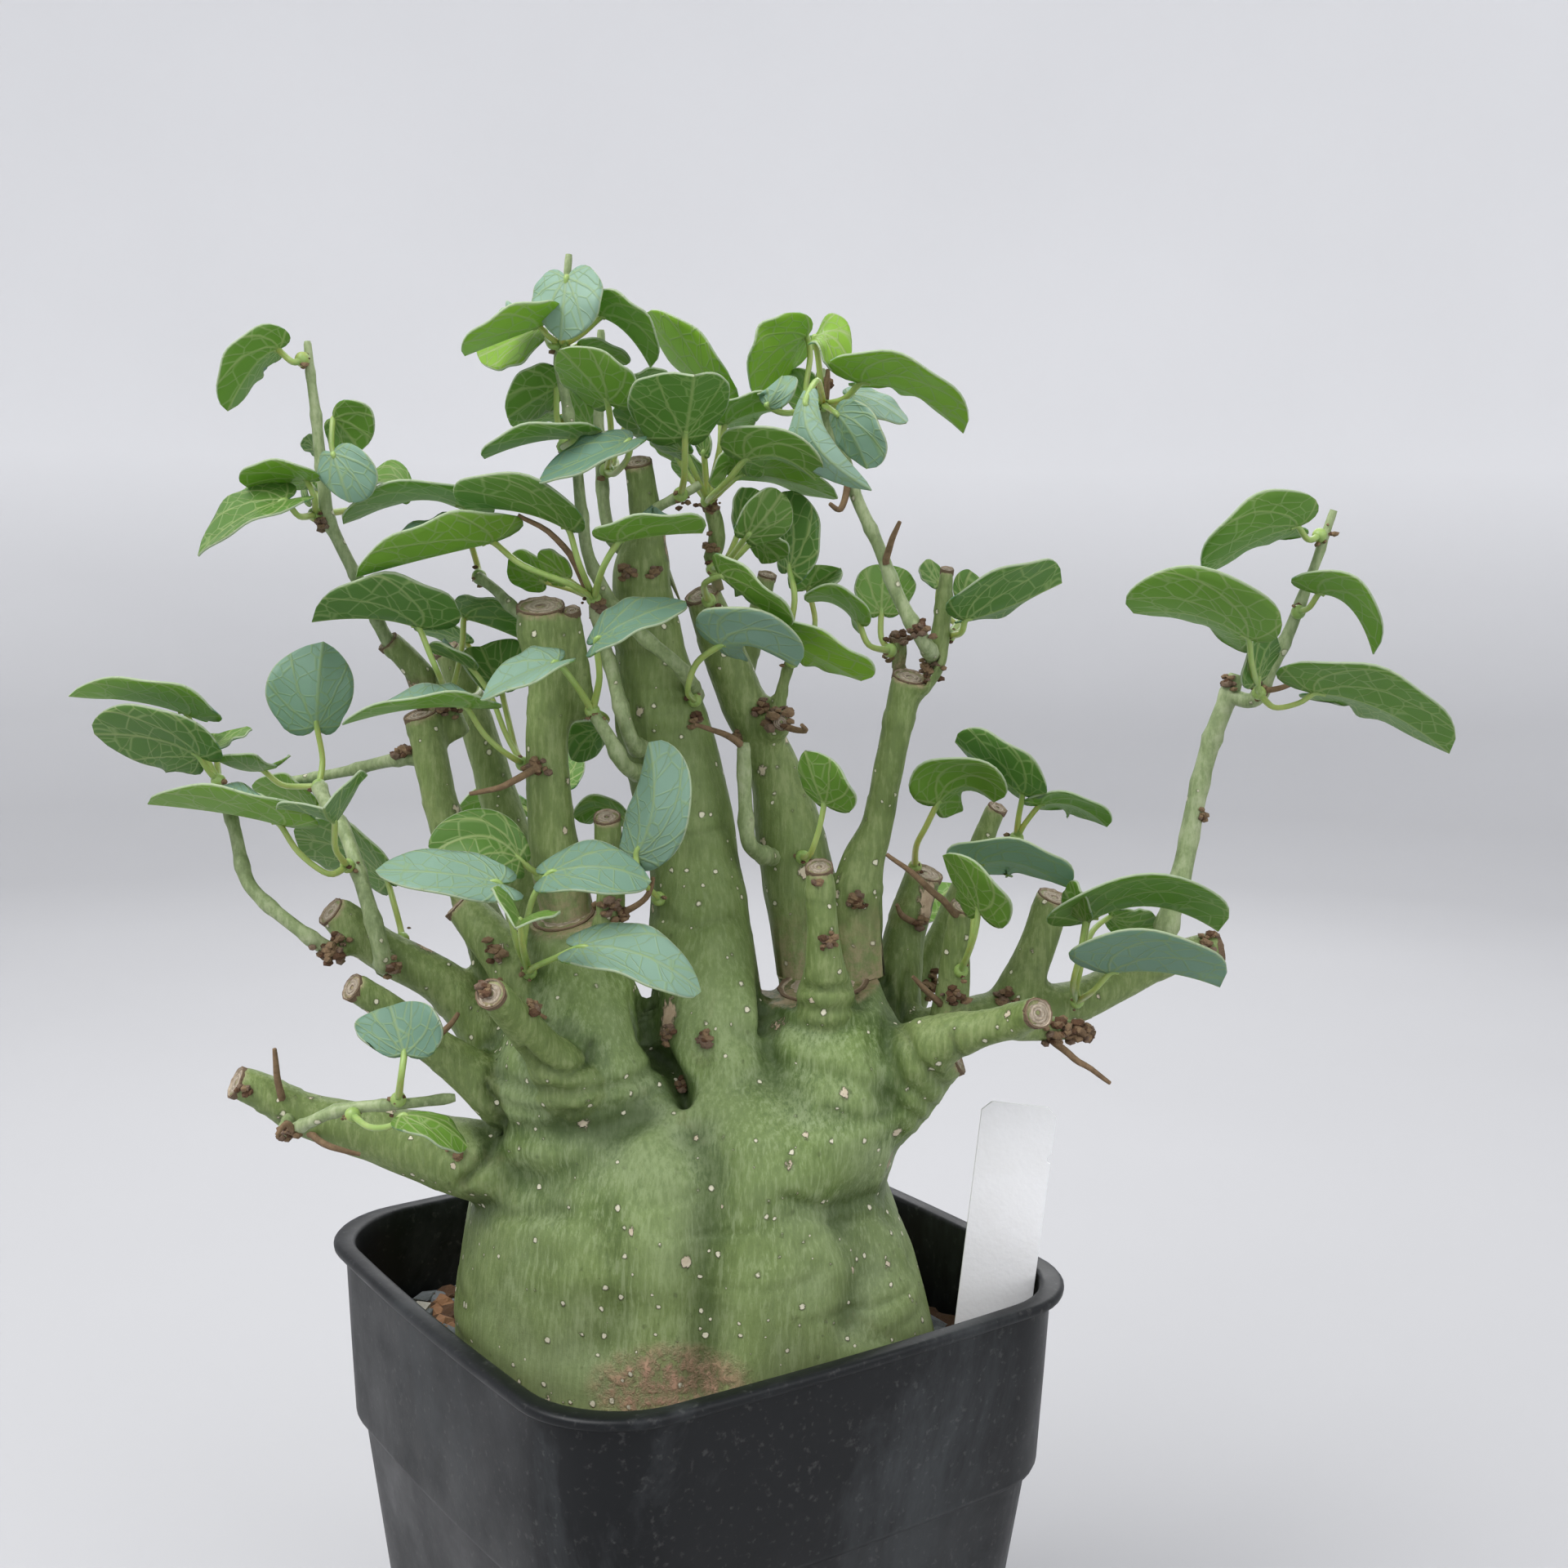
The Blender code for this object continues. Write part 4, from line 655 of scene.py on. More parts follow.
lumps = noise_at(skin, 30.0)
dents = noise_at(skin, 120.0, 7.0)
wraps = noise_at(skin, (20.0, 20.0, 120.0), 3.0)
bands = np.clip(noise_at(skin, 22.0, 11.0) * 2.2, 0, 1)
wrinkle = np.clip(1 - np.abs(wraps) * 6.0, 0, 1) ** 2 * bands
body = 1 - slender
shift += lumps * 0.0026 * body + dents * (0.0003 + 0.0002 * body)
shift -= wrinkle * 0.0009 * (0.3 + 0.7 * body)
# Painted shade in the wrinkles too.
painted_crease_shade = np.maximum(painted_crease_shade, wrinkle * 0.42)
ring = np.exp(-((along * 1000 + lumps * 9) % 23.0 - 6.0) ** 2 / 1.2)
shift += ring * 0.0003 * slender
skin = skin + normals * shift[:, None]
caudex.data.vertices.foreach_set("co", skin.ravel())
caudex.data.update()
print("moved by up to", round(float(np.abs(shift).max()) * 1000, 2), "mm")

# %% [markdown]
# Shade is painted into the bark's hollows, and a painted highlight onto its swellings. How hollow the
# skin is at a point shows in how far the average of its neighbours lies above it, and smoothing that
# number widens the effect.

# %% Find hollows and swellings
ends = np.empty(len(caudex.data.edges) * 2, dtype=int)
caudex.data.edges.foreach_get("vertices", ends)
first, second = ends.reshape(-1, 2).T
links = np.bincount(first, minlength=len(skin)) + np.bincount(second, minlength=len(skin))


def neighbour_mean(values):
    total = np.bincount(first, values[second], len(skin)) + np.bincount(second, values[first], len(skin))
    return total / links


normals = normals_of(caudex)
smoothed = np.stack([neighbour_mean(skin[:, axis]) for axis in range(3)], axis=1)
for _ in range(5):
    smoothed = np.stack([neighbour_mean(smoothed[:, axis]) for axis in range(3)], axis=1)
hollow = ((smoothed - skin) * normals).sum(axis=1)
for _ in range(14):
    hollow = neighbour_mean(hollow)
hollow = np.clip(hollow / np.percentile(hollow, 97), -1, 1)
# Painted shade for the hollows and painted highlight for the swellings.
set_attribute(caudex, "hollow", np.clip(hollow, 0, 1))
set_attribute(caudex, "swell", np.clip(-hollow * 2.0, 0, 1))
columns, rows = picture_places(skin)
ellipse = ((columns - 822) / 95) ** 2 + ((rows - 1700) / 52) ** 2
corky = np.clip(1.35 - ellipse, 0, 1) * np.clip(-(normals @ np.array(FORWARD)) * 3, 0, 1)
set_attribute(caudex, "corky", corky)
print("hollow points:", int((hollow > 0.5).sum()))

# %% [markdown]
# A pruned arm ends in a flat, fibrous cut. The ends that the remesh has rounded are pressed flat again
# leaning a little to the front, and the points round them are marked, because bark dries brown there.

# %% Press the pruned ends flat
CUT_LEAN = 0.38
cut_rim = np.zeros(len(skin))
end_cuts = []
for limb, (path, radii) in arm_paths.items():
    if samples[nearest_arm(np.array([path[-1]]))[0][0], 5] < 0.5:
        continue
    end, radius = path[-1], radii[-1]
    outward = (path[-1] - path[-2]).normalized()
    lean = CUT_LEAN * max(0.0, outward.z)
    outward = (outward - AWAY * lean).normalized()
    end = end - Vector((0, 0, radius * lean * 0.7))
    offset = skin - np.array(end)
    height = offset @ np.array(outward)
    aside = np.linalg.norm(offset - height[:, None] * np.array(outward), axis=1)
    there = (aside < radius * 1.35) & (height > -0.0012) & (height < radius * 1.6 + 0.002)
    if there.sum() < 4:
        continue
    skin[there] -= (height[there] - np.clip(height[there], -0.0012, -0.0003))[:, None] * np.array(outward)
    cut_rim = np.maximum(cut_rim, np.where(there, np.clip((height + 0.0012) / 0.0009, 0, 1), 0.0))
    end_cuts.append((limb, end, outward, radius))
caudex.data.vertices.foreach_set("co", skin.ravel())
caudex.data.update()
print(len(end_cuts), "pruned ends")
set_attribute(caudex, "slender", slender)
set_attribute(caudex, "painted_crease_shade", painted_crease_shade)
set_attribute(caudex, "cut_rim", cut_rim)
triangles = len(caudex.data.polygons) * 2
if triangles > MOST_TRIANGLES:
    thin_out = caudex.modifiers.new("ThinOut", "DECIMATE")
    thin_out.ratio = MOST_TRIANGLES / triangles
    apply_modifiers(caudex)
pick(caudex)
bpy.ops.object.shade_smooth()
finish_piece(caudex, "caudex_bark", ["caudex"])

# %% [markdown]
# The cut itself is pale, ringed and fibrous, with a dark pith. Each cut face is a disc of its own that
# is inset, sunk behind its bark rim and raised again at the heart, because the rim's crisp edge is
# finer than the bark's mesh.

# %% Set a cut face on every pruned end
bpy.ops.object.select_all(action="DESELECT")
cut_faces = []
for limb, end, outward, radius in end_cuts:
    bpy.ops.mesh.primitive_circle_add(vertices=28, radius=radius * 0.97, fill_type="NGON")
    disc = bpy.context.object
    bpy.ops.object.mode_set(mode="EDIT")
    bpy.ops.mesh.select_all(action="SELECT")
    bpy.ops.mesh.extrude_region_move(TRANSFORM_OT_translate={"value": (0, 0, 0.0016)})
    for narrower, rise in ((0.10, 0.0001), (0.05, -0.0006), (0.22, 0.0003), (0.26, 0.0002), (0.20, -0.0003), (0.10, -0.0002)):
        bpy.ops.mesh.inset(thickness=narrower * radius)
        bpy.ops.transform.translate(value=(0, 0, rise))
    bpy.ops.object.mode_set(mode="OBJECT")
    share = []
    for vertex in disc.data.vertices:
        share.append(vertex.co.xy.length / radius)
        rough = noise.noise(Vector((vertex.co.x, vertex.co.y, end.z)) * 900)
        vertex.co.z += 0.00022 * rough
        vertex.co.xy *= 1 + 0.05 * rough
    set_attribute(disc, "share", share)
    turn = Vector((0, 0, 1)).rotation_difference(outward).to_matrix().to_4x4()
    disc.matrix_world = Matrix.Translation(end - outward * 0.0016) @ turn
    bpy.ops.object.transform_apply(location=True, rotation=True, scale=True)
    cut_faces.append(disc)
cuts = join_all(cut_faces, "cut_faces")
pick(cuts)
bpy.ops.object.shade_smooth_by_angle(angle=math.radians(35))
finish_piece(cuts, "cut_faces")

# %% Cut wood
cut_look, tree, shader, places = new_material("cut_wood", 0.92)
share_out = attribute_node(tree, "share")
fibres = noise_node(tree, places, 900.0, 4.0, 0.75)
wood = mix(tree, fibres, (0.230, 0.150, 0.085), (0.800, 0.720, 0.580))
waves = math_node(tree, "SINE", math_node(tree, "ADD", math_node(tree, "MULTIPLY", share_out, 30.0),
                                          math_node(tree, "MULTIPLY", fibres, 4.0)))
wood = mix(tree, math_node(tree, "MULTIPLY", waves, 0.30), wood, (0.210, 0.130, 0.070))
wood = mix(tree, ramp(tree, share_out, (0.10, 0.85), (0.26, 0.0)), wood, (0.110, 0.060, 0.035))
wood = mix(tree, ramp(tree, share_out, (0.84, 0.0), (0.90, 0.9)), wood, (0.170, 0.105, 0.055))
tree.links.new(wood, shader.inputs["Base Color"])
tree.links.new(bumped(tree, math_node(tree, "ADD", fibres, math_node(tree, "MULTIPLY", waves, 0.3)), 0.0007),
               shader.inputs["Normal"])
cuts.data.materials.clear()
cuts.data.materials.append(cut_look)

# %% [markdown]
# Living bark is green skin over the swollen stem. It is mottled and crossed by fine pale streaks, and
# cream cork dots, the lenticels, break through it, each with a thin dark edge. The dots are a pattern
# of cells in which only some cells hold a dot, each of its own size, so they never line up.

# %% Cork dots as a group
cork, group_in, group_out = new_group(
    "CorkDots", (("Vector", "Vector"), ("Scale", "Float"), ("Size", "Float"), ("Share", "Float")),
    (("Dot", "Float"), ("Edge", "Float")))
cells = add_node(cork, "TexVoronoi", {"Vector": group_in.outputs["Vector"], "Scale": group_in.outputs["Scale"],
                                      "Randomness": 1.0})
chance = add_node(cork, "SeparateColor", {"Color": cells.outputs["Color"]})
own_size = math_node(cork, "ADD", math_node(cork, "MULTIPLY", chance.outputs[0], 0.8), 0.2)
own_size = math_node(cork, "MULTIPLY", own_size, group_in.outputs["Size"])
held = math_node(cork, "LESS_THAN", chance.outputs[1], group_in.outputs["Share"])
ragged = noise_node(cork, group_in.outputs["Vector"], 900.0, 2.0, 0.6)
reach_out = math_node(cork, "ADD", cells.outputs["Distance"],
                      math_node(cork, "MULTIPLY", math_node(cork, "SUBTRACT", ragged, 0.5), 0.30))
relative = math_node(cork, "DIVIDE", reach_out, own_size)
dot = ramp(cork, math_node(cork, "MULTIPLY", relative, 0.5), (0.40, 1.0), (0.52, 0.0))
halo = ramp(cork, math_node(cork, "MULTIPLY", relative, 0.5), (0.50, 1.0), (0.80, 0.0))
cork.links.new(math_node(cork, "MULTIPLY", dot, held), group_out.inputs["Dot"])
cork.links.new(math_node(cork, "MULTIPLY", halo, held), group_out.inputs["Edge"])
print("group", cork.name)

# %% Green bark
bark, tree, shader, places = new_material("green_bark", 0.55, Specular_IOR_Level=0.35)
skin_look = use_group(tree, mottle, {
    "Vector": places, "Patch Scale": 48.0, "Streak Scale": 900.0, "Streak Length": 0.16,
    "Dark": (0.055, 0.105, 0.016), "Middle": (0.135, 0.205, 0.052), "Light": (0.300, 0.375, 0.190),
    "Streak Strength": 0.62})
heights = add_node(tree, "SeparateXYZ", {"Vector": places}).outputs["Z"]
low = add_node(tree, "MapRange", {"Value": heights, "From Min": 0.190, "From Max": 0.125}).outputs[0]
high = add_node(tree, "MapRange", {"Value": heights, "From Min": 0.200, "From Max": 0.280}).outputs[0]
colour = mix(tree, math_node(tree, "MULTIPLY", low, 0.50), skin_look.outputs["Color"], (0.330, 0.385, 0.180))
haze = ramp(tree, noise_node(tree, places, 30.0, 5.0, 0.6, 0.3), (0.42, 0.0), (0.66, 1.0))
colour = mix(tree, math_node(tree, "MULTIPLY", haze, 0.45), colour, (0.270, 0.330, 0.185))
colour = mix(tree, math_node(tree, "MULTIPLY", high, 0.45), colour, (0.075, 0.120, 0.022))
arm_look = use_group(tree, mottle, {
    "Vector": places, "Patch Scale": 75.0, "Streak Scale": 700.0, "Streak Length": 0.2,
    "Dark": (0.070, 0.105, 0.024), "Middle": (0.140, 0.195, 0.050), "Light": (0.290, 0.335, 0.150),
    "Streak Strength": 0.65})
colour = mix(tree, math_node(tree, "MULTIPLY", attribute_node(tree, "slender"), 0.85), colour, arm_look.outputs["Color"])
# Painted highlight on the swellings.
colour = mix(tree, math_node(tree, "MULTIPLY", attribute_node(tree, "swell"), 0.30), colour, (0.260, 0.350, 0.120))
# Painted shade in the hollows.
colour = mix(tree, math_node(tree, "MULTIPLY", attribute_node(tree, "hollow"), 0.60), colour, (0.032, 0.062, 0.010))
brown_patch = ramp(tree, noise_node(tree, places, 24.0, 6.0, 0.7, 0.5), (0.62, 0.0), (0.74, 1.0))
colour = mix(tree, math_node(tree, "MULTIPLY", brown_patch, 0.35), colour, (0.210, 0.150, 0.070))
# Painted shade in the creases and wrinkles.
colour = mix(tree, math_node(tree, "MULTIPLY", attribute_node(tree, "painted_crease_shade"), 0.70), colour, (0.026, 0.048, 0.009))
crust = noise_node(tree, places, 260.0, 6.0, 0.75)
corky = math_node(tree, "MULTIPLY", attribute_node(tree, "corky"), ramp(tree, crust, (0.42, 0.15), (0.60, 1.0)))
colour = mix(tree, corky, colour, (0.480, 0.300, 0.200))
fine_share = math_node(tree, "ADD", math_node(tree, "MULTIPLY", low, 0.42), 0.40)
fine = use_group(tree, cork, {"Vector": places, "Scale": 300.0, "Size": 0.24, "Share": fine_share})
wide = use_group(tree, cork, {"Vector": stretched(tree, places, (1, 1, 0.8)), "Scale": 125.0, "Size": 0.17,
                              "Share": math_node(tree, "MULTIPLY", fine_share, 0.75)})
scars = use_group(tree, cork, {"Vector": stretched(tree, places, (1.2, 1.2, 0.6)), "Scale": 58.0, "Size": 0.22,
                               "Share": 0.19})
edges = math_node(tree, "MAXIMUM", math_node(tree, "MAXIMUM", fine.outputs["Edge"], wide.outputs["Edge"]),
                  scars.outputs["Edge"])
colour = mix(tree, math_node(tree, "MULTIPLY", edges, 0.50), colour, (0.050, 0.062, 0.018))
colour = mix(tree, fine.outputs["Dot"], colour, (0.720, 0.690, 0.520))
colour = mix(tree, wide.outputs["Dot"], colour, mix(tree, crust, (0.420, 0.320, 0.200), (0.800, 0.740, 0.580)))
colour = mix(tree, scars.outputs["Dot"], colour, mix(tree, crust, (0.220, 0.130, 0.070), (0.720, 0.580, 0.420)))
dry_rim = math_node(tree, "MULTIPLY", attribute_node(tree, "cut_rim"), ramp(tree, crust, (0.40, 0.15), (0.58, 0.9)))
colour = mix(tree, dry_rim, colour, mix(tree, crust, (0.170, 0.115, 0.060), (0.480, 0.380, 0.240)))
tree.links.new(colour, shader.inputs["Base Color"])
dull = math_node(tree, "MAXIMUM", wide.outputs["Dot"], scars.outputs["Dot"])
tree.links.new(mix(tree, dull, ramp(tree, crust, (0.3, 0.44), (0.7, 0.60)), (0.92, 0.92, 0.92)),
               shader.inputs["Roughness"])
relief = math_node(tree, "MULTIPLY", skin_look.outputs["Height"], 0.35)
relief = math_node(tree, "ADD", relief, math_node(tree, "MULTIPLY", fine.outputs["Dot"], 0.5))
relief = math_node(tree, "ADD", relief, math_node(tree, "MULTIPLY", dull, 0.9))
relief = math_node(tree, "ADD", relief, math_node(tree, "MULTIPLY", crust, 0.30))
relief = math_node(tree, "ADD", relief, math_node(tree, "MULTIPLY", corky, 0.8))
tree.links.new(bumped(tree, relief, 0.0010, 0.85), shader.inputs["Normal"])
caudex.data.materials.clear()
caudex.data.materials.append(bark)

# %% [markdown]
# Thin shoots grow from the arms and carry most of the leaves. Each one swells a little where a leaf
# sits or fell off. A shoot is listed with what carries it, then its places from foot to tip.

# %% Places of the shoots
SHOOTS = {
    "shoot_upper_left": ("caudex", ((478, 792, 2, 9), (462, 758, 0, 8), (438, 710, -2, 8), (414, 660, -4, 8),
                         (401, 632, -5, 9), (394, 580, -6, 8), (387, 515, -7, 7), (380, 460, -8, 6),
                         (376, 417, -8, 5))),
    "shoot_far_left": ("caudex", ((400, 1165, -20, 10), (370, 1140, -24, 9), (320, 1098, -22, 9),
                       (300, 1068, -20, 9), (286, 1012, -16, 8), (270, 962, -12, 7))),
    "shoot_left": ("caudex", ((474, 1200, -13, 14), (466, 1170, -22, 12), (450, 1105, -20, 10),
      (425, 1020, -12, 9),
                   (400, 985, -6, 9), (390, 962, -2, 9))),
    "shoot_left_side": ("caudex", ((528, 930, 2, 10), (488, 930, 4, 9), (420, 946, 12, 7),
      (352, 956, 16, 6))),
    "shoot_middle": ("caudex", ((800, 930, -2, 12), (772, 905, -17, 10), (752, 830, -14, 9),
      (738, 780, -13, 8),
                     (728, 738, -16, 8))),
    "shoot_middle_short": ("caudex", ((800, 960, -2, 10), (764, 938, -20, 10), (745, 905, -22, 9),
                           (727, 875, -20, 8))),
    "shoot_crown": ("caudex", ((860, 850, 2, 10), (835, 822, -17, 9), (790, 780, -16, 9), (748, 736, -10, 9),
                    (720, 684, -12, 8), (712, 630, -12, 8), (706, 570, -12, 7), (696, 505, -12, 7),
                    (685, 445, -12, 6), (690, 380, -10, 5), (697, 314, -8, 5))),
    "shoot_crown_second": ("caudex", ((782, 700, 0, 9), (748, 655, -2, 8), (738, 590, 0, 8), (734, 520, 2, 7),
                           (736, 460, 2, 6), (737, 405, 2, 5))),
    "shoot_crown_side": ("caudex", ((788, 636, -5, 7), (820, 614, -9, 6), (846, 600, -10, 6),
      (858, 592, -10, 6))),
    "shoot_front_green": ("caudex", ((958, 1056, 10, 11), (932, 1046, -3, 11), (917, 1030, -8, 10),
                          (913, 983, -9, 9), (912, 908, -10, 9))),
    "shoot_upper_right": ("caudex", ((1140, 806, 0, 10), (1129, 783, -10, 10), (1103, 735, -8, 9),
                          (1075, 665, -6, 8), (1049, 605, -4, 8), (1030, 545, -2, 8), (1010, 503, 0, 9),
                          (1006, 452, 1, 6))),
    "shoot_right_long": ("caudex", ((1420, 1180, 14, 14), (1428, 1134, 15, 15), (1450, 1057, 16, 13),
                         (1474, 943, 18, 12), (1499, 863, 19, 12), (1513, 826, 19, 11))),
    "shoot_right_young": ("shoot_right_long", ((1505, 856, 19, 9), (1536, 856, 14, 10), (1556, 820, 12, 9),
                          (1580, 770, 10, 8), (1608, 694, 9, 6), (1633, 623, 8, 5))),
    "shoot_low_left": ("caudex", ((352, 1356, -22, 8), (352, 1385, -34, 8), (380, 1375, -44, 8),
                       (420, 1360, -46, 8), (490, 1352, -46, 7), (556, 1345, -44, 6))),
    "shoot_right_twig": ("caudex", ((1182, 1080, 30, 6), (1212, 1062, 16, 6), (1236, 1042, 6, 6),
                         (1243, 1022, 2, 6))),
    "shoot_left_twig": ("caudex", ((655, 760, -16, 8), (632, 750, -12, 8), (606, 724, -6, 7),
      (582, 706, -4, 7))),
}
print(len(SHOOTS), "shoots")


# %% Grow the shoots
def surface_of(obj):
    """The surface of a piece, for a ray to meet."""
    mesh = obj.data
    return BVHTree.FromPolygons([tuple(v.co) for v in mesh.vertices], [tuple(p.vertices) for p in mesh.polygons])


def seat_on(surface, outside, inside, lift):
    """Where the way from outside in meets a surface, lifted off it, and its way up."""
    way = inside - outside
    hit, normal, _, _ = surface.ray_cast(outside, way.normalized(), way.length)
    if hit is None:
        hit, normal, _, _ = surface.find_nearest(inside)
    return hit + normal * lift, normal


NODE_EVERY = 0.013
surfaces = {"caudex": surface_of(caudex)}
shoots = {}
for shoot_name, (carrier, shoot_places) in SHOOTS.items():
    path, radii = seen_path(shoot_places)
    path[0], up = seat_on(surfaces[carrier], path[1], path[0], -0.0012)
    radii[0] *= 1.12
    path, radii = smooth_path(path, radii, 7)
    travelled = 0.0
    for i in range(1, len(path)):
        travelled += (path[i] - path[i - 1]).length
        swell = math.exp(-((travelled % NODE_EVERY - NODE_EVERY / 2) / 0.0016) ** 2)
        radii[i] *= 0.95 + 0.22 * swell
        path[i] = path[i] + Vector(noise.noise_vector(path[i] * 60)) * 0.0006
    radii[-1] *= 0.8
    shoot = stem(shoot_name + "_skin", path, radii, roundness=3)
    slender_along = np.repeat(np.linspace(0, 1, len(path)), len(shoot.data.vertices) // len(path))
    if len(slender_along) == len(shoot.data.vertices):
        set_attribute(shoot, "along", slender_along)
    pick(shoot)
    bpy.ops.object.shade_smooth_by_angle(angle=math.radians(50))
    surfaces[shoot_name] = surface_of(shoot)
    shoots[shoot_name] = finish_piece(shoot, shoot_name + "_skin", [shoot_name])

# %% Young bark
young, tree, shader, places = new_material("young_bark", 0.5, Specular_IOR_Level=0.4)
young_look = use_group(tree, mottle, {
    "Vector": places, "Patch Scale": 90.0, "Streak Scale": 480.0, "Streak Length": 0.3,
    "Dark": (0.140, 0.190, 0.075), "Middle": (0.260, 0.330, 0.150), "Light": (0.430, 0.480, 0.290),
    "Streak Strength": 0.4})
speckle = use_group(tree, cork, {"Vector": places, "Scale": 300.0, "Size": 0.24, "Share": 0.35})
colour = mix(tree, math_node(tree, "MULTIPLY", speckle.outputs["Edge"], 0.5), young_look.outputs["Color"],
             (0.11, 0.11, 0.05))
colour = mix(tree, speckle.outputs["Dot"], colour, (0.60, 0.58, 0.42))
tree.links.new(colour, shader.inputs["Base Color"])
gloss = ramp(tree, noise_node(tree, places, 180.0), (0.3, 0.42), (0.7, 0.62))
tree.links.new(gloss, shader.inputs["Roughness"])
tree.links.new(bumped(tree, math_node(tree, "ADD", young_look.outputs["Height"], speckle.outputs["Dot"]), 0.0004, 0.8),
               shader.inputs["Normal"])
for shoot in shoots.values():
    shoot.data.materials.clear()
    shoot.data.materials.append(young)
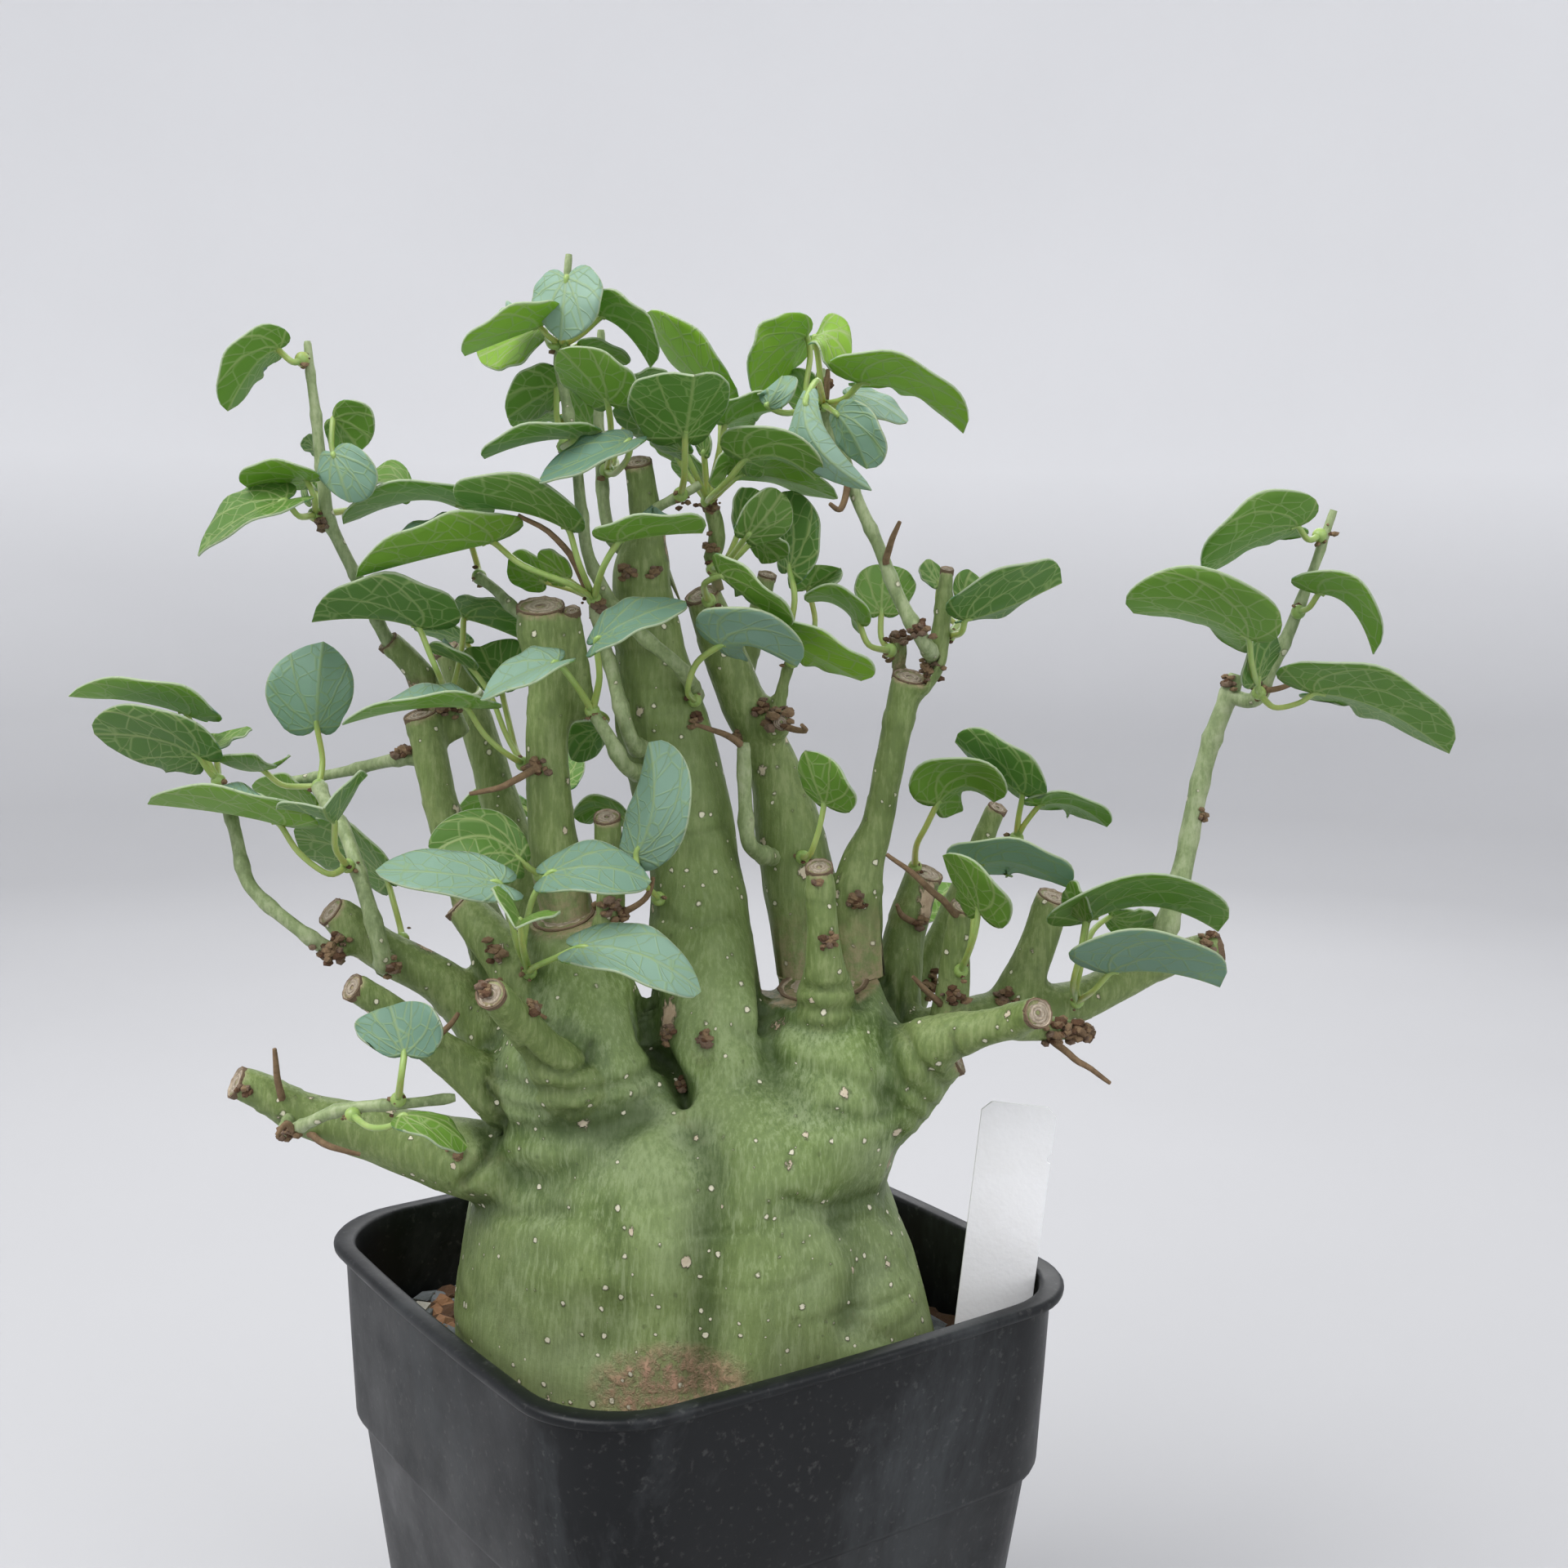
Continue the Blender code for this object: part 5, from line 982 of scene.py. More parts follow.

# %% [markdown]
# The leaves are thin, heart-shaped blades, some seen from above, where they are bluish, and some from
# below, where light comes through them and they are a strong green; the brightest of them also have
# painted light in their colour. Each blade starts as a flat grid that is fitted to its own midrib and
# its two widest points, cupped and waved, and given a thickness.
# A leaf is listed as joint, middle and tip of its midrib, the two widest edge points, then the bends
# of its stalk.

# %% Places of the leaves
CLUSTERS = {
    "leaf_upper_left": ("shoot_upper_left", (378, 440, -8), (
        ((340, 428, -10), (310, 448, -12), (278, 503, -10), (289, 416, -20), (322, 455, 2),
          ((358, 443, -12),)),
    )),
    "leaves_upper_left_middle": ("shoot_upper_left", (394, 572, -6), (
        ((408, 513, 8), (425, 530, 9), (441, 553, 10), (450, 498, 4), (405, 550, 14),
         ((406, 545, 3), (410, 562, -4))),
        ((408, 556, -17), (418, 585, -19), (428, 615, -18), (391, 583, -15), (459, 572, -21),
          ((409, 566, -11),)),
        ((388, 551, 3), (380, 541, 4), (371, 537, 4), (385, 534, -1), (378, 553, 9),
         ((398, 556, 4), (410, 568, -1))),
    )),
    "leaves_upper_left_low": ("shoot_upper_left", (399, 630, -5), (
        ((375, 588, -12), (340, 585, -13), (300, 594, -10), (338, 564, -22), (347, 603, -2),
          ((385, 610, -13),)),
        ((350, 613, -18), (293, 637, -20), (243, 681, -17), (298, 597, -8), (325, 633, -30),
          ((366, 632, -16),)),
        ((382, 588, 6), (374, 600, 8), (380, 613, 8), (368, 596, 12), (389, 600, 4), ((391, 612, 4),)),
        ((500, 600, 16), (478, 588, 18), (453, 598, 20), (470, 567, 24), (485, 607, 10), ((440, 622, 8),)),
    )),
    "leaf_left_high": ("shoot_left_twig", (588, 712, -4), (
        ((569, 622, -4), (500, 612, -8), (420, 641, -5), (527, 588, -20), (522, 606, 8),
         ((574, 655, 2), (584, 690, 2))),
    )),
    "leaves_middle_high": ("shoot_middle", (728, 738, -16), (
        ((604, 664, -22), (522, 683, -25), (436, 706, -22), (550, 630, -36), (530, 632, -10),
         ((640, 692, -26), (700, 716, -26))),
        ((697, 650, -24), (640, 627, -28), (571, 622, -25), (632, 582, -40), (668, 602, -12),
          ((709, 690, -26),)),
        ((757, 664, -36), (806, 655, -39), (860, 652, -35), (778, 633, -50), (800, 622, -24),
          ((738, 696, -32),)),
        ((666, 712, -5), (645, 701, -4), (622, 692, -3), (650, 676, -9), (640, 721, 1), ((700, 722, -5),)),
        ((694, 708, -16), (679, 696, -17), (660, 686, -17), (683, 677, -21), (675, 714, -13),
          ((712, 722, -18),)),
    )),
    "leaves_left_fork": ("caudex", (544, 862, 6), (
        ((513, 769, -14), (455, 757, -16), (382, 761, -13), (506, 708, -27), (460, 730, -3),
         ((526, 800, -16), (538, 828, -14))),
        ((568, 757, 12), (602, 767, 12), (640, 783, 14), (604, 735, 0), (606, 762, 24),
         ((566, 790, 9), (558, 830, 2))),
        ((570, 786, 42), (540, 775, 40), (508, 771, 40), (545, 762, 34), (548, 786, 48),
         ((588, 815, 38), (586, 848, 12), (562, 856, 0))),
    )),
    "leaves_left_inner": ("caudex", (660, 950, -16), (
        ((571, 866, -26), (500, 868, -30), (419, 887, -27), (543, 849, -40), (540, 836, -16),
         ((592, 898, -26), (616, 920, -24))),
        ((577, 818, -8), (552, 806, -9), (533, 800, -8), (556, 793, -17), (545, 784, 0),
         ((600, 850, -8), (620, 900, -10))),
        ((614, 846, 6), (600, 818, 8), (588, 792, 10), (569, 818, 2), (643, 795, 12),
         ((622, 880, 0), (632, 920, -6))),
    )),
    "leaves_middle": ("shoot_middle_short", (727, 873, -20), (
        ((683, 812, -34), (638, 828, -38), (591, 855, -38), (648, 795, -28), (655, 833, -48),
          ((706, 840, -30),)),
        ((730, 786, -36), (776, 758, -39), (840, 737, -37), (751, 741, -31), (772, 778, -47),
          ((734, 830, -28),)),
        ((735, 892, 6), (716, 905, 8), (699, 930, 8), (705, 884, 2), (738, 915, 14), ((743, 880, -8),)),
    )),
    "leaves_far_left": ("shoot_far_left", (268, 958, -12), (
        ((229, 875, -12), (165, 858, -12), (84, 852, -9), (212, 838, -24), (203, 860, 0), ((243, 910, -10),)),
        ((243, 926, -16), (190, 904, -18), (116, 898, -14), (203, 869, -26), (203, 944, -10),
          ((256, 945, -14),)),
        ((264, 914, -5), (282, 902, -7), (303, 890, -8), (253, 903, 3), (285, 907, -16), ((266, 935, -8),)),
    )),
    "leaves_left_top": ("shoot_left", (393, 968, -2), (
        ((322, 943, 0), (295, 942, -7), (264, 929, -14), (322, 930, -14), (352, 930, 10),
         ((345, 961, 2), (375, 963, 0))),
        ((388, 890, 2), (390, 838, 0), (396, 786, 4), (325, 845, 0), (433, 845, 5), ((395, 930, 3),)),
        ((386, 990, 14), (350, 974, 15), (313, 956, 14), (356, 951, 8), (350, 990, 24), ((396, 983, 6),)),
    )),
    "leaves_left_middle": ("shoot_left", (434, 1062, -16), (
        ((343, 1010, -26), (275, 995, -28), (181, 984, -23), (310, 970, -40), (300, 962, -15),
         ((366, 1044, -26), (402, 1070, -25))),
        ((410, 1008, -36), (402, 1003, -44), (396, 990, -52), (338, 988, -38), (448, 945, -34),
         ((411, 1040, -30),)),
    )),
    "leaf_left_back": ("caudex", (492, 1176, -12), (
        ((474, 1078, 2), (425, 1040, 4), (362, 1026, 6), (432, 1011, -5), (418, 1066, 16),
         ((482, 1105, -2), (490, 1135, -4))),
    )),
    "leaf_low_left": ("shoot_low_left", (488, 1352, -46), (
        ((495, 1290, -54), (487, 1262, -52), (478, 1232, -48), (434, 1262, -50), (540, 1252, -56),
         ((491, 1320, -56),)),
    )),
    "leaves_low_left_trailing": ("shoot_low_left", (430, 1359, -46), (
        ((492, 1366, -60), (535, 1374, -60), (572, 1404, -58), (547, 1368, -54), (526, 1396, -67),
         ((478, 1379, -60), (452, 1380, -56))),
    )),
    "leaves_front": ("caudex", (650, 1205, -15), (
        ((612, 1082, -48), (540, 1070, -50), (460, 1067, -48), (560, 1041, -40), (565, 1100, -58),
         ((622, 1110, -46), (634, 1160, -40))),
        ((672, 1070, -44), (735, 1062, -47), (797, 1080, -46), (715, 1031, -38), (715, 1092, -55),
         ((651, 1104, -42), (641, 1160, -38))),
        ((637, 1128, -60), (633, 1134, -67), (631, 1137, -75), (602, 1086, -62), (686, 1118, -66),
         ((640, 1160, -50),)),
        ((709, 1160, -52), (786, 1170, -58), (858, 1215, -58), (775, 1130, -49), (755, 1192, -66),
         ((680, 1173, -46), (655, 1184, -42))),
    )),
    "leaf_front_dark": ("caudex", (682, 1075, -15), (
        ((636, 1052, -28), (590, 1024, -30), (530, 1045, -32), (590, 990, -28), (600, 1058, -34),
         ((650, 1064, -26),)),
    )),
    "leaf_centre_oval": ("caudex", (820, 1110, -2), (
        ((779, 1047, -34), (800, 985, -37), (795, 909, -33), (766, 998, -28), (846, 995, -40),
         ((784, 1075, -32),)),
    )),
    "leaf_centre_back": ("caudex", (812, 1020, 1), (
        ((765, 1001, 14), (735, 987, 15), (702, 1000, 15), (740, 974, 9), (735, 1002, 23),
          ((776, 1012, 10),)),
    )),
    "leaves_crown": ("shoot_crown", (685, 425, -12), (
        ((694, 341, -22), (690, 378, -24), (687, 417, -23), (652, 362, -18), (738, 362, -27),
         ((693, 385, -17), (689, 410, -18))),
        ((660, 400, -18), (612, 418, -20), (569, 435, -17), (632, 374, -32), (620, 372, -6),
          ((672, 412, -18),)),
        ((661, 402, -5), (622, 421, -2), (586, 438, 0), (620, 401, 4), (632, 447, -10),
         ((668, 412, -8), (675, 424, -16))),
        ((736, 388, -16), (768, 408, -16), (797, 450, -14), (773, 368, -26), (768, 402, -2),
          ((712, 409, -15),)),
        ((714, 426, -9), (740, 431, -10), (768, 446, -9), (743, 419, -15), (736, 445, -5),
         ((704, 424, -10), (695, 428, -16))),
    )),
    "leaves_crown_middle": ("shoot_crown", (703, 548, -12), (
        ((681, 475, -3), (655, 488, -3), (621, 511, -2), (648, 449, -10), (671, 505, 4),
         ((682, 512, -6), (689, 540, -12))),
        ((690, 512, 10), (660, 503, 11), (622, 513, 11), (660, 494, 3), (660, 517, 19),
         ((688, 535, 0), (687, 545, -9))),
        ((708, 537, -25), (652, 541, -27), (593, 561, -23), (668, 517, -39), (660, 522, -16),
         ((700, 541, -24), (690, 547, -17))),
    )),
    "leaves_crown_second": ("shoot_crown_second", (738, 580, 0), (
        ((744, 493, -28), (716, 458, -34), (685, 428, -38), (772, 456, -38), (691, 470, -24),
         ((748, 525, -22), (746, 560, -12))),
        ((728, 530, 10), (712, 502, 11), (694, 470, 11), (733, 488, 4), (700, 514, 17),
         ((744, 550, 10), (756, 570, 4))),
        ((772, 490, 6), (791, 470, 5), (820, 459, 4), (776, 459, -3), (812, 485, 11),
         ((766, 520, 4), (752, 560, 4))),
        ((772, 540, -34), (725, 560, -38), (661, 588, -36), (718, 534, -30), (735, 568, -46),
         ((768, 562, -28), (752, 580, -14))),
    )),
    "leaf_crown_big": ("shoot_crown_side", (834, 608, -10), (
        ((839, 535, -30), (846, 491, -40), (850, 460, -52), (768, 490, -38), (893, 487, -38),
          ((838, 582, -24),)),
    )),
    "leaves_crown_right": ("caudex", (868, 618, -2), (
        ((880, 486, 16), (835, 440, 14), (790, 384, 14), (868, 420, 4), (841, 463, 25),
         ((882, 540, 14), (872, 595, 6))),
        ((838, 552, -12), (795, 526, -13), (752, 508, -13), (800, 503, -20), (800, 544, -4),
          ((852, 582, -10),)),
        ((830, 562, 2), (815, 550, 3), (800, 537, 4), (824, 541, -1), (806, 553, 7), ((848, 590, 1),)),
        ((862, 556, -8), (860, 538, -8), (852, 520, -6), (847, 540, -5), (869, 533, -11), ((865, 590, -4),)),
        ((862, 584, 10), (845, 575, 11), (822, 566, 12), (848, 558, 5), (845, 590, 17), ((868, 600, 4),)),
        ((911, 564, -30), (955, 559, -36), (999, 588, -34), (927, 520, -44), (934, 576, -24),
         ((890, 590, -26), (871, 608, -16))),
        ((902, 574, -16), (890, 570, -16), (868, 590, -18), (893, 548, -22), (880, 593, -12),
          ((884, 600, -10),)),
        ((905, 582, 0), (955, 585, 2), (1026, 610, 4), (945, 560, -9), (950, 594, 12), ((882, 602, -2),)),
        ((888, 520, -4), (920, 506, -8), (957, 501, -8), (905, 485, -16), (925, 517, 4), ((878, 565, -4),)),
    )),
    "leaves_right_round": ("caudex", (872, 696, 2), (
        ((914, 657, -28), (937, 632, -30), (957, 603, -30), (915, 617, -34), (963, 651, -26),
          ((890, 688, -16),)),
        ((923, 661, -12), (940, 669, -10), (955, 685, -8), (959, 661, -14), (928, 684, -5),
          ((893, 690, -9),)),
        ((905, 650, 8), (905, 625, 9), (912, 597, 10), (897, 622, 5), (932, 615, 13), ((890, 684, 2),)),
    )),
    "leaf_right_inner": ("caudex", (868, 740, 4), (
        ((882, 705, -38), (918, 733, -42), (961, 770, -41), (922, 704, -52), (903, 728, -28),
         ((862, 716, -28),)),
    )),
    "leaf_right_pale": ("caudex", (848, 862, 0), (
        ((881, 791, -36), (925, 790, -42), (976, 816, -38), (896, 742, -48), (907, 802, -26),
         ((853, 812, -30), (842, 845, -24))),
    )),
    "leaves_right_centre": ("caudex", (968, 812, 6), (
        ((967, 697, 2), (972, 650, 4), (960, 602, 8), (1005, 660, -2), (944, 642, 12),
         ((973, 735, -4), (964, 790, -3))),
        ((990, 722, 12), (1008, 709, 12), (1030, 696, 12), (970, 700, 10), (1016, 720, 4),
         ((998, 760, 10), (990, 792, 1))),
        ((945, 775, -28), (1000, 803, -32), (1055, 833, -30), (1016, 779, -43), (985, 812, -20),
         ((955, 790, -16), (966, 798, -8))),
    )),
    "leaves_upper_right": ("shoot_upper_right", (1009, 498, 0), (
        ((988, 412, 6), (955, 441, 6), (924, 488, 5), (935, 396, -8), (967, 460, 16),
         ((992, 436, 4), (987, 475, 0), (991, 492, -6))),
        ((940, 497, -18), (950, 480, -20), (958, 461, -18), (927, 480, -15), (974, 478, -22),
          ((965, 506, -14),)),
        ((999, 503, 16), (985, 480, 17), (965, 456, 17), (999, 462, 11), (962, 490, 23),
         ((988, 506, 10), (986, 503, -2))),
        ((997, 414, -8), (1020, 414, -12), (1041, 446, -14), (1012, 389, -2), (1005, 430, -20),
          ((1002, 440, -6),)),
        ((1054, 469, -14), (1120, 483, -16), (1180, 530, -12), (1092, 433, -30), (1098, 478, -1),
          ((1034, 488, -11),)),
        ((1024, 506, -20), (1045, 535, -24), (1062, 574, -24), (1075, 515, -28), (1027, 546, -18),
          ((1018, 502, -16),)),
        ((987, 489, -36), (1000, 546, -42), (1067, 600, -38), (963, 533, -30), (1012, 528, -40),
          ((1001, 466, -24),)),
        ((1042, 484, 12), (1072, 492, 13), (1110, 518, 13), (1078, 480, 21), (1063, 506, 6),
         ((1032, 492, 7), (1026, 498, -4))),
    )),
    "leaves_right_stub": ("caudex", (1100, 800, 6), (
        ((1052, 763, -6), (1024, 739, -8), (990, 737, -8), (1036, 721, -18), (1040, 752, 3),
          ((1064, 790, -6),)),
        ((1079, 750, 10), (1080, 722, 13), (1083, 692, 16), (1047, 718, 9), (1121, 720, 15),
          ((1079, 780, 7),)),
    )),
    "leaves_right_tip": ("caudex", (1152, 782, 0), (
        ((1182, 760, -8), (1236, 742, -10), (1300, 713, -8), (1225, 699, -24), (1222, 755, 2),
          ((1177, 775, -5),)),
        ((1185, 738, 14), (1182, 718, 15), (1190, 700, 16), (1167, 716, 16), (1205, 716, 13),
          ((1176, 758, 12),)),
        ((1150, 716, 16), (1140, 702, 17), (1131, 688, 17), (1129, 708, 14), (1151, 696, 20),
         ((1150, 745, 16), (1174, 768, 12))),
    )),
    "leaf_dark_stub": ("caudex", (1120, 1062, 15), (
        ((1147, 986, -8), (1181, 962, -12), (1218, 982, -13), (1152, 927, -22), (1178, 987, -2),
         ((1134, 1012, -4), (1122, 1036, 2))),
    )),
    "leaves_right_twig": ("shoot_right_twig", (1242, 1028, 2), (
        ((1252, 973, -8), (1215, 943, -12), (1170, 908, -10), (1253, 921, -22), (1219, 955, 3),
          ((1247, 1002, -4),)),
        ((1273, 986, -4), (1316, 986, -6), (1356, 1012, -4), (1306, 971, -14), (1308, 998, 8),
          ((1254, 1010, -3),)),
    )),
    "leaves_right_grey": ("caudex", (1170, 1200, -3), (
        ((1198, 1115, -28), (1181, 1080, -32), (1155, 1047, -32), (1232, 1097, -42), (1172, 1098, -20),
         ((1192, 1150, -24),)),
        ((1198, 1060, -14), (1246, 1056, -18), (1307, 1086, -16), (1222, 1027, -30), (1235, 1074, -4),
         ((1194, 1085, -14), (1190, 1150, -14))),
    )),
    "leaves_right_pale": ("caudex", (978, 1050, 10), (
        ((1009, 984, -32), (997, 955, -36), (986, 919, -38), (981, 958, -30), (1045, 970, -42),
         ((1003, 1015, -30), (992, 1046, -24))),
    )),
    "leaves_far_right": ("caudex", (1316, 1232, 11), (
        ((1332, 1129, -14), (1410, 1109, -18), (1492, 1140, -14), (1375, 1077, -34), (1402, 1090, 4),
         ((1325, 1176, -14), (1318, 1212, -10))),
        ((1329, 1129, -20), (1316, 1112, -22), (1304, 1090, -22), (1304, 1112, -18), (1327, 1095, -27),
         ((1322, 1170, -20), (1314, 1205, -14))),
        ((1359, 1192, -24), (1425, 1190, -28), (1494, 1208, -26), (1385, 1142, -42), (1432, 1170, -11),
         ((1338, 1214, -20),)),
        ((1360, 1122, 18), (1386, 1128, 18), (1414, 1121, 18), (1390, 1114, 13), (1388, 1151, 23),
         ((1338, 1140, 12), (1324, 1176, 4), (1318, 1204, 0))),
    )),
    "leaf_young_upper": ("shoot_right_young", (1620, 656, 8), (
        ((1589, 645, 2), (1536, 662, 0), (1477, 701, 2), (1539, 608, -14), (1556, 663, 12),
          ((1602, 661, 3),)),
    )),
    "leaf_young_right": ("shoot_right_young", (1588, 750, 9), (
        ((1615, 727, 0), (1655, 745, -2), (1682, 801, 0), (1642, 701, -12), (1674, 742, 10),
          ((1603, 744, 2),)),
    )),
    "leaves_young_base": ("shoot_right_young", (1541, 850, 14), (
        ((1529, 783, -8), (1465, 753, -12), (1388, 750, -8), (1502, 702, -28), (1478, 768, 4),
          ((1533, 816, -3),)),
        ((1541, 832, 4), (1546, 804, 2), (1562, 776, 2), (1524, 808, -4), (1567, 800, 7), ((1540, 843, 6),)),
        ((1610, 849, 0), (1691, 868, -4), (1775, 922, 0), (1670, 814, -18), (1655, 869, 16),
         ((1590, 861, 2), (1560, 866, 6))),
    )),
    "leaves_back_left": ("caudex", (684, 1030, 68), (
        ((640, 985, 92), (600, 978, 96), (560, 990, 94), (612, 960, 88), (606, 1000, 104),
          ((662, 1006, 86),)),
        ((690, 960, 96), (690, 930, 104), (688, 900, 108), (664, 935, 102), (716, 935, 100),
          ((686, 992, 88),)),
    )),
    "leaves_back_right": ("caudex", (1092, 1172, 72), (
        ((1120, 1120, 98), (1148, 1100, 106), (1172, 1084, 112), (1120, 1092, 108), (1158, 1120, 102),
         ((1104, 1146, 90),)),
    )),
}
print(sum(len(leaves) for _, _, leaves in CLUSTERS.values()), "leaves")

# %% Shape one blade
WIDEST = 0.34
LEAF_THICKNESS = 0.0005
ROWS_LONG = 18
ROWS_WIDE = 12
LOBE = 0.17
GLAUCOUS = (
    (696, 365), (425, 577), (380, 835), (640, 825), (540, 1070), (733, 1062), (640, 1105), (785, 1170), (803, 970),
    (1010, 560), (1055, 520), (480, 1260), (770, 745), (735, 560), (900, 775), (1425, 1190), (1220, 1060),
)
# Leaves near these places get the brightest green, painted light where the sun glows through them.
SUNLIT = ((955, 430), (835, 430), (1115, 475), (1000, 800), (640, 420), (700, 380), (1010, 540), (1040, 410), (760, 640))
dice = random.Random(11)


def midrib_point(joint, middle, tip, u):
    """A place on the midrib, a quadratic curve through its joint, middle and tip, and its direction there."""
    control = middle * 2 - (joint + tip) / 2
    held_u = max(u, 0.0)
    along = (control - joint) * 2 * (1 - held_u) + (tip - control) * 2 * held_u
    if u < 0:
        return joint + along * u, along
    return joint * (1 - u) ** 2 + control * 2 * u * (1 - u) + tip * u * u, along


def half_outline(u):
    """How far out the blade's edge is at a place along the midrib, beside its widest place."""
    if u < WIDEST:
        return math.sqrt(max(0.0, 1 - ((WIDEST - u) / 0.52) ** 2))
    beyond = (u - WIDEST) / (1 - WIDEST)
    return max(0.0, 1 - beyond ** 2.2) ** 0.68


def make_blade(corners, glaucous, tone_and_painted_glow):
    """One blade: a grid fitted to its corners, then given a thickness."""
    joint, middle, tip, side_a, side_b = corners
    at_widest, along_widest = midrib_point(joint, middle, tip, WIDEST)
    sides = (side_a - at_widest, side_b - at_widest)
    bpy.ops.mesh.primitive_grid_add(x_subdivisions=ROWS_WIDE, y_subdivisions=ROWS_LONG, size=2)
    leaf = bpy.context.object
    wave_start = dice.uniform(0, 2 * math.pi)
    wave_count = dice.uniform(1.4, 2.6)
    cup = dice.uniform(0.04, 0.12)
    leaf_places = []
    length = (tip - joint).length
    widths = [reach.length for reach in sides]
    for vertex in leaf.data.vertices:
        out = abs(vertex.co.x)
        side = 0 if vertex.co.x < 0 else 1
        u = (vertex.co.y + 1) / 2
        edge_out = half_outline(u)
        back = LOBE * max(0.0, 1 - u / 0.42) ** 1.6 * math.sin(math.pi * out) ** 0.7
        point, along = midrib_point(joint, middle, tip, u)
        turn = along_widest.rotation_difference(along)
        reach = [turn @ vector for vector in sides]
        up = (reach[0].cross(along).normalized() + along.cross(reach[1]).normalized()).normalized()
        spread = out * edge_out
        lift = cup * widths[side] * (spread - spread * spread) * 2
        lift += 0.045 * widths[side] * spread ** 2 * math.sin(wave_count * 2 * math.pi * u + wave_start + side * 2.0)
        vertex.co = point + reach[side] * spread - along.normalized() * back * length + up * lift
        leaf_places.append(((u - back) * length * 1000, (spread * widths[side] * (1 if side else -1)) * 1000, out))
    attribute = leaf.data.attributes.new("leaf_place", "FLOAT_VECTOR", "POINT")
    attribute.data.foreach_set("vector", np.array(leaf_places, dtype=np.float32).ravel())
    wall = leaf.modifiers.new("Thickness", "SOLIDIFY")
    wall.thickness = LEAF_THICKNESS
    wall.offset = 0.0
    face = leaf.data.polygons[len(leaf.data.polygons) // 2]
    towards = face.normal.dot(EYE - face.center) > 0
    count = len(leaf.data.vertices)
    apply_modifiers(leaf)
    first_is_upper = towards == glaucous
    first = leaf.data.vertices[count // 2].co
    second = leaf.data.vertices[count // 2 + count].co
    if (first - second).dot(face_normal_at(leaf, count)) < 0:
        first_is_upper = not first_is_upper
    total = len(leaf.data.vertices)
    upper = [1.0 if (i < count) == first_is_upper else 0.0 for i in range(total)]
    set_attribute(leaf, "upper", upper)
    set_attribute(leaf, "tone_and_painted_glow", [tone_and_painted_glow] * total)
    bpy.ops.object.shade_smooth()
    return leaf


def face_normal_at(leaf, count):
    """The normal of the blade's first layer near its middle."""
    for polygon in leaf.data.polygons:
        if count // 2 in polygon.vertices and all(i < count for i in polygon.vertices):
            return polygon.normal
    return leaf.data.polygons[0].normal


# %% [markdown]
# A leaf shows its veins because they are paler than the green between them. Five run out from the
# joint, smaller ones leave the midrib, and a fine net fills the rest. The group below draws them from
# the blade's own measure: millimetres along the midrib, millimetres out from it, and share of the way
# to the edge.

# %% Veins as a group
veins, group_in, group_out = new_group("LeafVeins", (("Place", "Vector"),),
                                       (("Veins", "Float"), ("Net", "Float"), ("Margin", "Float")))
blade_place = add_node(veins, "SeparateXYZ", {"Vector": group_in.outputs["Place"]})
s_mm = blade_place.outputs["X"]
t_mm = math_node(veins, "ABSOLUTE", blade_place.outputs["Y"])
wander = noise_node(veins, group_in.outputs["Place"], 0.25, 2.0, 0.5)
wander = math_node(veins, "MULTIPLY", math_node(veins, "SUBTRACT", wander, 0.5), 2.0)
radius_mm = math_node(veins, "SQRT", math_node(veins, "ADD", math_node(veins, "POWER", t_mm, 2.0),
                                               math_node(veins, "POWER", s_mm, 2.0)))
angle = math_node(veins, "ARCTAN2", t_mm, s_mm)
vein_distance = math_node(veins, "MULTIPLY", t_mm, 0.7)
for start_angle, bend in ((0.62, 0.011), (1.25, 0.020), (2.05, 0.020)):
    off = math_node(veins, "SUBTRACT", math_node(veins, "ADD", angle, math_node(veins, "MULTIPLY", radius_mm, bend)),
                    start_angle)
    off = math_node(veins, "ABSOLUTE", math_node(veins, "ADD", math_node(veins, "MULTIPLY", off, radius_mm),
                                                 math_node(veins, "MULTIPLY", wander, 0.5)))
    vein_distance = math_node(veins, "MINIMUM", vein_distance, off)
lateral = math_node(veins, "SUBTRACT", math_node(veins, "ADD", s_mm, wander), math_node(veins, "MULTIPLY", t_mm, 0.75))
lateral = math_node(veins, "ABSOLUTE", math_node(veins, "SUBTRACT", math_node(veins, "FRACT", math_node(
    veins, "DIVIDE", lateral, 7.5)), 0.5))
lateral = math_node(veins, "ADD", math_node(veins, "MULTIPLY", lateral, 8.0), 0.16)
vein_distance = math_node(veins, "MINIMUM", vein_distance, lateral)
vein_line = ramp(veins, vein_distance, (0.12, 1.0), (0.46, 0.0))
net = add_node(veins, "TexVoronoi", {"Vector": group_in.outputs["Place"], "Scale": 0.21}, feature="DISTANCE_TO_EDGE")
net_line = ramp(veins, net.outputs["Distance"], (0.01, 1.0), (0.055, 0.0))
margin = ramp(veins, blade_place.outputs["Z"], (0.965, 0.0), (0.990, 1.0))
veins.links.new(vein_line, group_out.inputs["Veins"])
veins.links.new(net_line, group_out.inputs["Net"])
veins.links.new(margin, group_out.inputs["Margin"])
print("group", veins.name)


